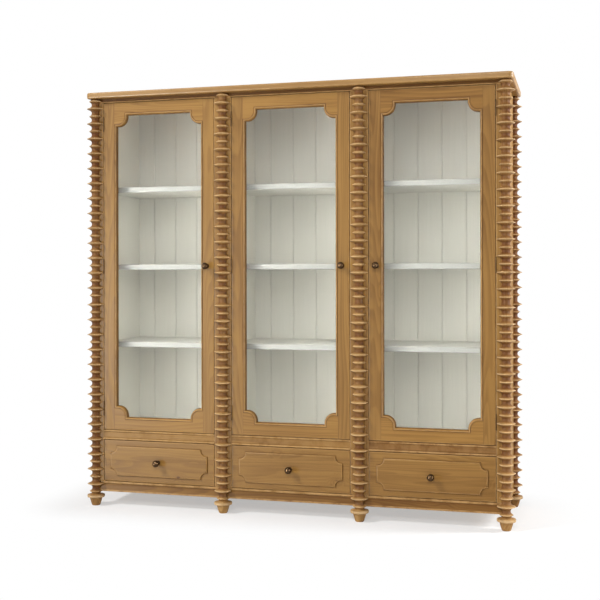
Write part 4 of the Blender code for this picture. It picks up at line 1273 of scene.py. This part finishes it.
def make_back_boards(sizes, paint):
    """Back boards side by side: each joint is a V on the inside, whose lips are eased."""
    low, high = limits("back_panel")
    inside = low[1]
    half = sizes.groove_width / 2
    axes = np.sort([limits(name + "_column").mean(axis=0)[0] for name in FRONT_AXES])
    joints = np.concatenate([np.arange(left + first, right - LAST_BOARD, sizes.back_board)
                             for left, right, first in zip(axes, axes[1:], sizes.first_joints)])
    across = np.array([GROOVE_BOTTOM, half - GROOVE_LIP, half, half + GROOVE_FADE])
    depth = np.array([sizes.groove_depth, *LIP_DEPTHS, 0.0])
    across = joints[:, None] + np.concatenate([-across[::-1], across])
    depth = np.broadcast_to(inside + np.concatenate([depth[::-1], depth]), across.shape)
    grooves = np.stack([across, depth], axis=-1).reshape(-1, 2)
    outer = [[high[0], high[1]], [low[0], high[1]], [low[0], inside]]
    profile = np.concatenate([outer, grooves, [[high[0], inside]]])
    # Painted shade in each V groove, fading out over its lips
    dust_and_shade = np.concatenate([GROOVE_DUST_AND_SHADE[::-1], GROOVE_DUST_AND_SHADE])
    hollow = np.concatenate([[0, 0, 0], np.tile(dust_and_shade, len(joints)), [0]])
    boards = drawn_out(profile, (low[2], high[2]), 2, hollow=hollow, board=seed("back"))
    raw = pine("back_pine", ALONG_Z, contrast=0.6, across=0, width=sizes.back_board, shades="raw")
    bare = REAR - BARE_DEPTH
    make_piece("grooved_back_panel", [boards], [raw, paint], CARCASS, ["back_panel"],
               choose=lambda normals, centres: (normals[:, 1] < -BACK_FACE) & (centres[:, 1] < bare))


# Doors

# Section of the bead round the glass: shares of its width and depth, then wear and hollow, which paints shade
# by the glass and in the quirk
BEAD_SECTION = np.array([[0.00, 1.00, 0.0, 1.0], [0.04, 0.75, 0.0, 1.0], [0.10, 0.50, 0.0, 0.7],
                         [0.18, 0.28, 0.0, 0.3], [0.28, 0.08, 0.2, 0.0], [0.38, -0.08, 0.5, 0.0],
                         [0.50, -0.17, 0.8, 0.0], [0.62, -0.19, 0.9, 0.0], [0.71, -0.14, 0.4, 0.0],
                         [0.76, -0.02, 0.0, 0.6], [0.80, 0.12, 0.0, 1.0], [0.90, 0.12, 0.0, 1.0],
                         [0.96, 0.02, 0.0, 0.6], [1.00, 0.00, 0.0, 0.0]])
BEAD_FADE = (0.003, 0.013)  # rows on the flat beside the bead
EDGE_FADE = 0.004           # row on the flat beside the outer edge
BACK_EDGE = (0.003, 0.001)  # how far the opening's back edge is cut away, across and in depth


class BOOKCASE_OT_doors(bpy.types.Operator):
    """Make the door frames and glaze them"""
    bl_idname = "bookcase.doors"
    bl_label = "Glazed doors"

    def execute(self, context):
        sizes = context.scene.bookcase.doors
        wood = framed_pine("framed_pine", sizes)
        glass = glazing("window_glass")
        for index, bay in enumerate(BAYS):
            make_door_frame(sizes, context.scene.bookcase.boards.ease, wood, bay, seed("door", index))
            pane = frame["nodes"][bay + "_door_glass"]
            pane.data.materials.clear()
            pane.data.materials.append(glass)
        return {"FINISHED"}


def make_door_frame(sizes, ease, wood, bay, board):
    """A door frame as a ring of loops round its opening.

    From the glass outwards: a bead that stands a little proud, a quirk, the flat face, the rounded outer
    edge, the back, and the groove that holds the glass.
    """
    pane = limits(bay + "_door_glass")
    half_x = DOOR_WIDTH / 2
    half_z = (DOOR_HIGH - DOOR_LOW) / 2
    width = sizes.moulding_width
    outline = (half_x - sizes.stile_face - width, half_z - sizes.rail_face - width, sizes.bracket_radius,
               sizes.bracket_step)
    rows = [(width * across, FRONT + sizes.moulding_depth * down) for across, down in BEAD_SECTION[:, :2]]
    rows += [(width + fade, FRONT) for fade in BEAD_FADE]
    rows += [(half_x - ease - EDGE_FADE, half_z - ease - EDGE_FADE, FRONT)]
    rows += edge_rows(half_x, half_z, ease, FRONT, 1)
    rows += edge_rows(half_x, half_z, ease, FRONT_BACK, -1)[::-1]
    glass_x, _, glass_z = np.ptp(pane, axis=0) / 2 + FIT
    glass_front, glass_back = pane[:, 1] + (-FIT, FIT)
    rows += [(BACK_EDGE[0], FRONT_BACK), (0.0, FRONT_BACK - BACK_EDGE[1]), (0.0, glass_back)]
    rows += [(glass_x, glass_z, glass_back), (glass_x, glass_z, glass_front), (0.0, glass_front)]
    # Wear lies on the bead and the front edge, and painted shade beside the bead and down the outer edge, in
    # the gap
    wear = np.concatenate([BEAD_SECTION[:, 2], np.zeros(3), [0.5, 1.0, 0.3], np.zeros(9)])
    hollow = np.concatenate([BEAD_SECTION[:, 3], np.zeros(5), [0.8, 1.0, 0.5], np.zeros(7)])
    centre = np.array([pane[:, 0].mean(), 0.0, DOOR_MIDDLE])
    loops = frame_loops(outline, rows)
    ring = shell(loops + centre, ring=True, wear=wear, hollow=hollow, board=board, tone=BAY_SHADE_TONES[bay])
    node = bay + "_door_frame"
    made = make_piece("moulded_" + node, [ring], [wood], bay + "_door", [node])
    across = made.data.attributes.new("across", "FLOAT", "POINT")
    across.data.foreach_set("value", loops[..., 0].astype(np.float32).ravel())


# Drawers

PANEL_FADE = 0.010     # row on the flat beside the groove round a panel
# Groove round a panel: rows out from the panel's foot, and how deep they lie
PANEL_GROOVE = ((0.0024, 0.0), (0.0016, 0.001), (0.0005, 0.001), (0.0, -0.0004))
BOX_EASE = 0.7         # of the boards' ease
BOX_BAND = 0.003       # worn band of a drawer box's boards


class BOOKCASE_OT_drawers(bpy.types.Operator):
    """Make the drawer fronts and boxes"""
    bl_idname = "bookcase.drawers"
    bl_label = "Drawers"

    def execute(self, context):
        sizes = context.scene.bookcase.drawers
        ease = context.scene.bookcase.boards.ease
        wood = pine("panel_pine", ALONG_X, contrast=0.36, wear=0.5, knot_scale=7.0, knot_size=0.0075,
                    across=2, width=0.118)
        level = pine("box_pine", ALONG_X, contrast=0.6, shades="raw")
        deep = pine("box_side_pine", ALONG_Y, contrast=0.6, shades="raw")
        for index, bay in enumerate(BAYS):
            make_drawer_front(sizes, ease, wood, bay, seed("drawer_front", index))
            make_drawer_box(sizes, ease, [level, deep], bay, index)
        return {"FINISHED"}


def make_drawer_front(sizes, ease, wood, bay, board):
    """A drawer front: loops run from the back over the rounded edge and a groove, and up a rounded panel."""
    node = bay + "_drawer_front"
    low, high = limits(node)
    half_x, _, half_z = (high - low) / 2
    outline = (half_x - sizes.side_inset, half_z - sizes.end_inset, sizes.scoop_radius, sizes.scoop_step)
    top = FRONT - sizes.rise
    rows = edge_rows(half_x, half_z, ease, FRONT_BACK, -1)
    rows += edge_rows(half_x, half_z, ease, FRONT, 1)[::-1]
    rows += [(half_x - ease - EDGE_FADE, half_z - ease - EDGE_FADE, FRONT), (PANEL_FADE, FRONT)]
    rows += [(out, FRONT + deep) for out, deep in PANEL_GROOVE]
    rows += [(-sizes.bevel * (1 - np.cos(bend)), top + sizes.bevel * (1 - np.sin(bend)))
             for bend in np.radians(np.linspace(0, 90, 6))]
    rows += [(-sizes.bevel - EDGE_FADE, top)]
    # Wear lies on the front edge and up the panel's, and painted shade down the outer edge and in the groove
    wear = np.concatenate([np.zeros(3), [0.3, 1.0, 0.5], np.zeros(6), [0.1, 0.4, 0.8, 0.8, 0.6, 0.4, 0.0]])
    hollow = np.concatenate([[0.0, 0.5, 1.0, 0.8], np.zeros(4), [0.1, 0.5, 0.5, 0.25], np.zeros(7)])
    centre = (low + high) / 2 * (1, 0, 1)
    loops = frame_loops(outline, rows) + centre
    front = shell(loops, wear=wear, hollow=hollow, board=board, tone=BAY_SHADE_TONES[bay])
    make_piece("panelled_" + node, [front], [wood], bay + "_drawer", [node])


def make_drawer_box(sizes, ease, woods, bay, index):
    """A drawer's box of five boards: two sides, front and back between them, and a bottom."""
    node = bay + "_drawer_box"
    (left, front, bottom), (right, back, top) = limits(node)
    inner_left, inner_right = left + sizes.wall, right - sizes.wall
    inner_front, inner_back = front + sizes.wall, back - sizes.wall
    # Lowest and highest corners, thin axis and wood of each board
    spans = [((left, front, bottom), (inner_left, back, top), 0, 1),
             ((inner_right, front, bottom), (right, back, top), 0, 1),
             ((inner_left, front, bottom), (inner_right, inner_front, top), 1, 0),
             ((inner_left, inner_back, bottom), (inner_right, back, top), 1, 0),
             ((inner_left, inner_front, bottom), (inner_right, inner_back, bottom + sizes.bottom), 2, 0)]
    boards = [eased_board(low, high, thin, ease=ease * BOX_EASE, band=BOX_BAND, material=wood,
                          board=seed("drawer_box", len(spans) * index + number))
              for number, (low, high, thin, wood) in enumerate(spans)]
    make_piece("boarded_" + node, boards, woods, bay + "_drawer", [node])


# Knobs and hinges

KNOB_SIDES = 40
ROSE_EASE = 0.0022     # round on a rose's edge
NECK_WAIST = 0.0009    # how far a neck draws in
NECK_FLARE = 0.0018    # how far it spreads at the rose
POLE = 0.035           # angle at which a ball is closed, in radians
HINGE_SIDES = 20
KNUCKLE_EASE = 0.0005
KNUCKLE_END = 0.0002   # how far a barrel's ends and shoulders are coned
SHOULDER = 0.0001


class BOOKCASE_OT_knobs(bpy.types.Operator):
    """Turn the knobs"""
    bl_idname = "bookcase.knobs"
    bl_label = "Knobs"

    def execute(self, context):
        sizes = context.scene.bookcase.fittings
        metal = bronzed("knob_bronze", 0.2, 0.28)
        for index, bay in enumerate(BAYS):
            for row, kind in enumerate(("door", "drawer")):
                make_knob(sizes, metal, f"{bay}_{kind}_knob", f"{bay}_{kind}", seed("knob", 2 * index + row))
        return {"FINISHED"}


def make_knob(sizes, metal, node, body, board):
    """A knob spun round an axis that points forwards: a rose with a round edge, a waisted neck, a ball."""
    low, high = limits(node)
    ball, rose, thick, neck = sizes.ball_radius, sizes.rose_radius, sizes.rose_thickness, sizes.neck_radius
    centre = (high[1] - low[1]) - ball
    start = math.asin(neck / ball)
    edge = np.radians(np.linspace(0, 90, 5))
    rose_r = rose - ROSE_EASE * (1 - np.cos(edge))
    rose_h = thick - ROSE_EASE * (1 - np.sin(edge))
    throat = np.linspace(0, 1, 9)
    throat_h = thick + (centre - ball * math.cos(start) - thick) * throat
    throat_r = neck - NECK_WAIST * np.sin(np.pi * throat) + NECK_FLARE * (1 - throat) ** 6
    arc = np.linspace(math.pi - start, POLE, 24)[1:]
    radii = np.concatenate([[rose], rose_r, throat_r, ball * np.sin(arc)])
    heights = np.concatenate([[0.0], rose_h, throat_h, centre + ball * np.cos(arc)])
    wear = np.concatenate([[0], np.full(5, 0.5), np.zeros(9), np.clip(np.cos(arc) + 0.1, 0, 1)])
    hollow = np.concatenate([np.zeros(6), np.clip(1.2 - 1.6 * throat, 0, 1), np.zeros(len(arc))])
    knob = turned(radii, heights, KNOB_SIDES, wear=wear, hollow=hollow, board=board)
    x, y, z = knob["places"].T
    middle = (low + high) / 2
    knob["places"] = np.stack([x + middle[0], high[1] - z, y + middle[2]], axis=1)
    make_piece("turned_" + node, [knob], [metal], body, [node])


class BOOKCASE_OT_hinges(bpy.types.Operator):
    """Make both halves of the hinges"""
    bl_idname = "bookcase.hinges"
    bl_label = "Hinges"

    def execute(self, context):
        sizes = context.scene.bookcase.fittings
        metal = bronzed("hinge_bronze", 0.5, 0.65)
        for index, bay in enumerate(BAYS):
            joint = next(item for item in frame["joints"] if item["name"] == bay + "_door_hinge")
            edge = limits(bay + "_drawer_front")[0 if HANGING_SIDES[bay] > 0 else 1, 0]
            moving = []
            for row, level in enumerate(LEVELS):
                node = f"{bay}_door_{level}_hinge"
                fixed, swung = hinge_halves(sizes, limits(node)[:, 2], joint["pos_m"][:2], edge,
                                            HANGING_SIDES[bay], seed("hinge", 3 * index + row))
                make_piece("pinned_" + node, fixed, [metal], CARCASS, [node])
                moving += swung
            make_piece(bay + "_door_hinge_leaves", moving, [metal], bay + "_door")
        return {"FINISHED"}


def hinge_halves(sizes, ends, axis, edge, side, board):
    """The fixed and moving halves of one hinge: barrels spun round the pin, and leaves across the gap.

    The fixed half's barrel is the same from both ends: a coned end, the knuckle, a shoulder and the pin.
    """
    bottom, top = ends
    third = (top - bottom) / 3
    first, second = bottom + third, top - third
    knuckle, pin, plate = sizes.knuckle_radius, sizes.pin_radius, sizes.leaf_thickness
    ease = KNUCKLE_EASE
    place = (*axis, 0.0)
    half_r = np.array([knuckle - 2 * ease, knuckle - ease, knuckle, knuckle, knuckle - ease, pin])
    half_z = np.array([bottom, bottom + KNUCKLE_END, bottom + 2 * ease, first - FIT - ease, first - FIT,
                       first - FIT + SHOULDER])
    barrel_r = np.concatenate([half_r, half_r[::-1]])
    barrel_z = np.concatenate([half_z, bottom + top - half_z[::-1]])
    rub = np.tile([0, 0.6, 0.8, 0.8, 0.6, 0], 2)
    fixed = [moved(turned(barrel_r, barrel_z, HINGE_SIDES, wear=rub, board=board), place)]
    bore = pin + FIT
    ring_r = np.array([bore, bore, knuckle - ease, knuckle, knuckle, knuckle - ease])
    ring_z = np.array([second, first, first, first + ease, second - ease, second])
    swung = [moved(turned(ring_r, ring_z, HINGE_SIDES, ring=True, wear=0.6, board=board), place)]
    gap = 2 * abs(edge - axis[0])
    near = FRONT + FIT
    back = FRONT + sizes.leaf_depth
    reach = axis[1] - 0.5 * pin
    inner = axis[1] + bore
    fixed_x = np.sort([edge - side * (gap - FIT), edge - side * (gap - FIT - plate)])
    swung_x = np.sort([edge - side * FIT / 3, edge - side * plate])
    fixed_leaf = [[back, top], [back, bottom], [reach, bottom], [reach, first - FIT], [near, first - FIT],
                  [near, second + FIT], [reach, second + FIT], [reach, top]]
    swung_leaf = [[back, top], [back, bottom], [near, bottom], [near, first], [inner, first],
                  [inner, second], [near, second], [near, top]]
    fixed.append(drawn_out(fixed_leaf, fixed_x, 0, hollow=0.4, board=board))
    swung.append(drawn_out(swung_leaf, swung_x, 0, hollow=0.4, board=board))
    return fixed, swung


# Panel and registration

STEPS = (BOOKCASE_OT_stage, BOOKCASE_OT_columns, BOOKCASE_OT_top, BOOKCASE_OT_boards, BOOKCASE_OT_rails,
         BOOKCASE_OT_inside, BOOKCASE_OT_doors, BOOKCASE_OT_drawers, BOOKCASE_OT_knobs, BOOKCASE_OT_hinges)


class BOOKCASE_PT_panel(bpy.types.Panel):
    """Settings and steps of the bookcase"""
    bl_idname = "BOOKCASE_PT_panel"
    bl_label = "Bookcase"
    bl_space_type = "VIEW_3D"
    bl_region_type = "UI"
    bl_category = "Bookcase"

    def draw(self, context):
        settings = context.scene.bookcase
        for part in settings.bl_rna.properties:
            if part.type != "POINTER" or part.identifier == "rna_type":
                continue
            box = self.layout.box()
            box.label(text=part.name)
            values = getattr(settings, part.identifier)
            for value in values.bl_rna.properties:
                if value.identifier not in ("rna_type", "name"):
                    box.prop(values, value.identifier)
        for step in STEPS:
            self.layout.operator(step.bl_idname)


CLASSES = (ColumnSizes, BoardSizes, RailSizes, DoorSizes, DrawerSizes, FittingSizes, FinishColours,
           StageSettings, BookcaseSettings, *STEPS, BOOKCASE_PT_panel)


def register():
    for item in CLASSES:
        bpy.utils.register_class(item)
    bpy.types.Scene.bookcase = PointerProperty(type=BookcaseSettings)


def unregister():
    del bpy.types.Scene.bookcase
    for item in reversed(CLASSES):
        bpy.utils.unregister_class(item)


def main():
    register()
    bpy.ops.bookcase.stage()
    bpy.ops.bookcase.columns()
    bpy.ops.bookcase.top()
    bpy.ops.bookcase.boards()
    bpy.ops.bookcase.rails()
    bpy.ops.bookcase.inside()
    bpy.ops.bookcase.doors()
    bpy.ops.bookcase.drawers()
    bpy.ops.bookcase.knobs()
    bpy.ops.bookcase.hinges()


if __name__ == "__main__":
    main()
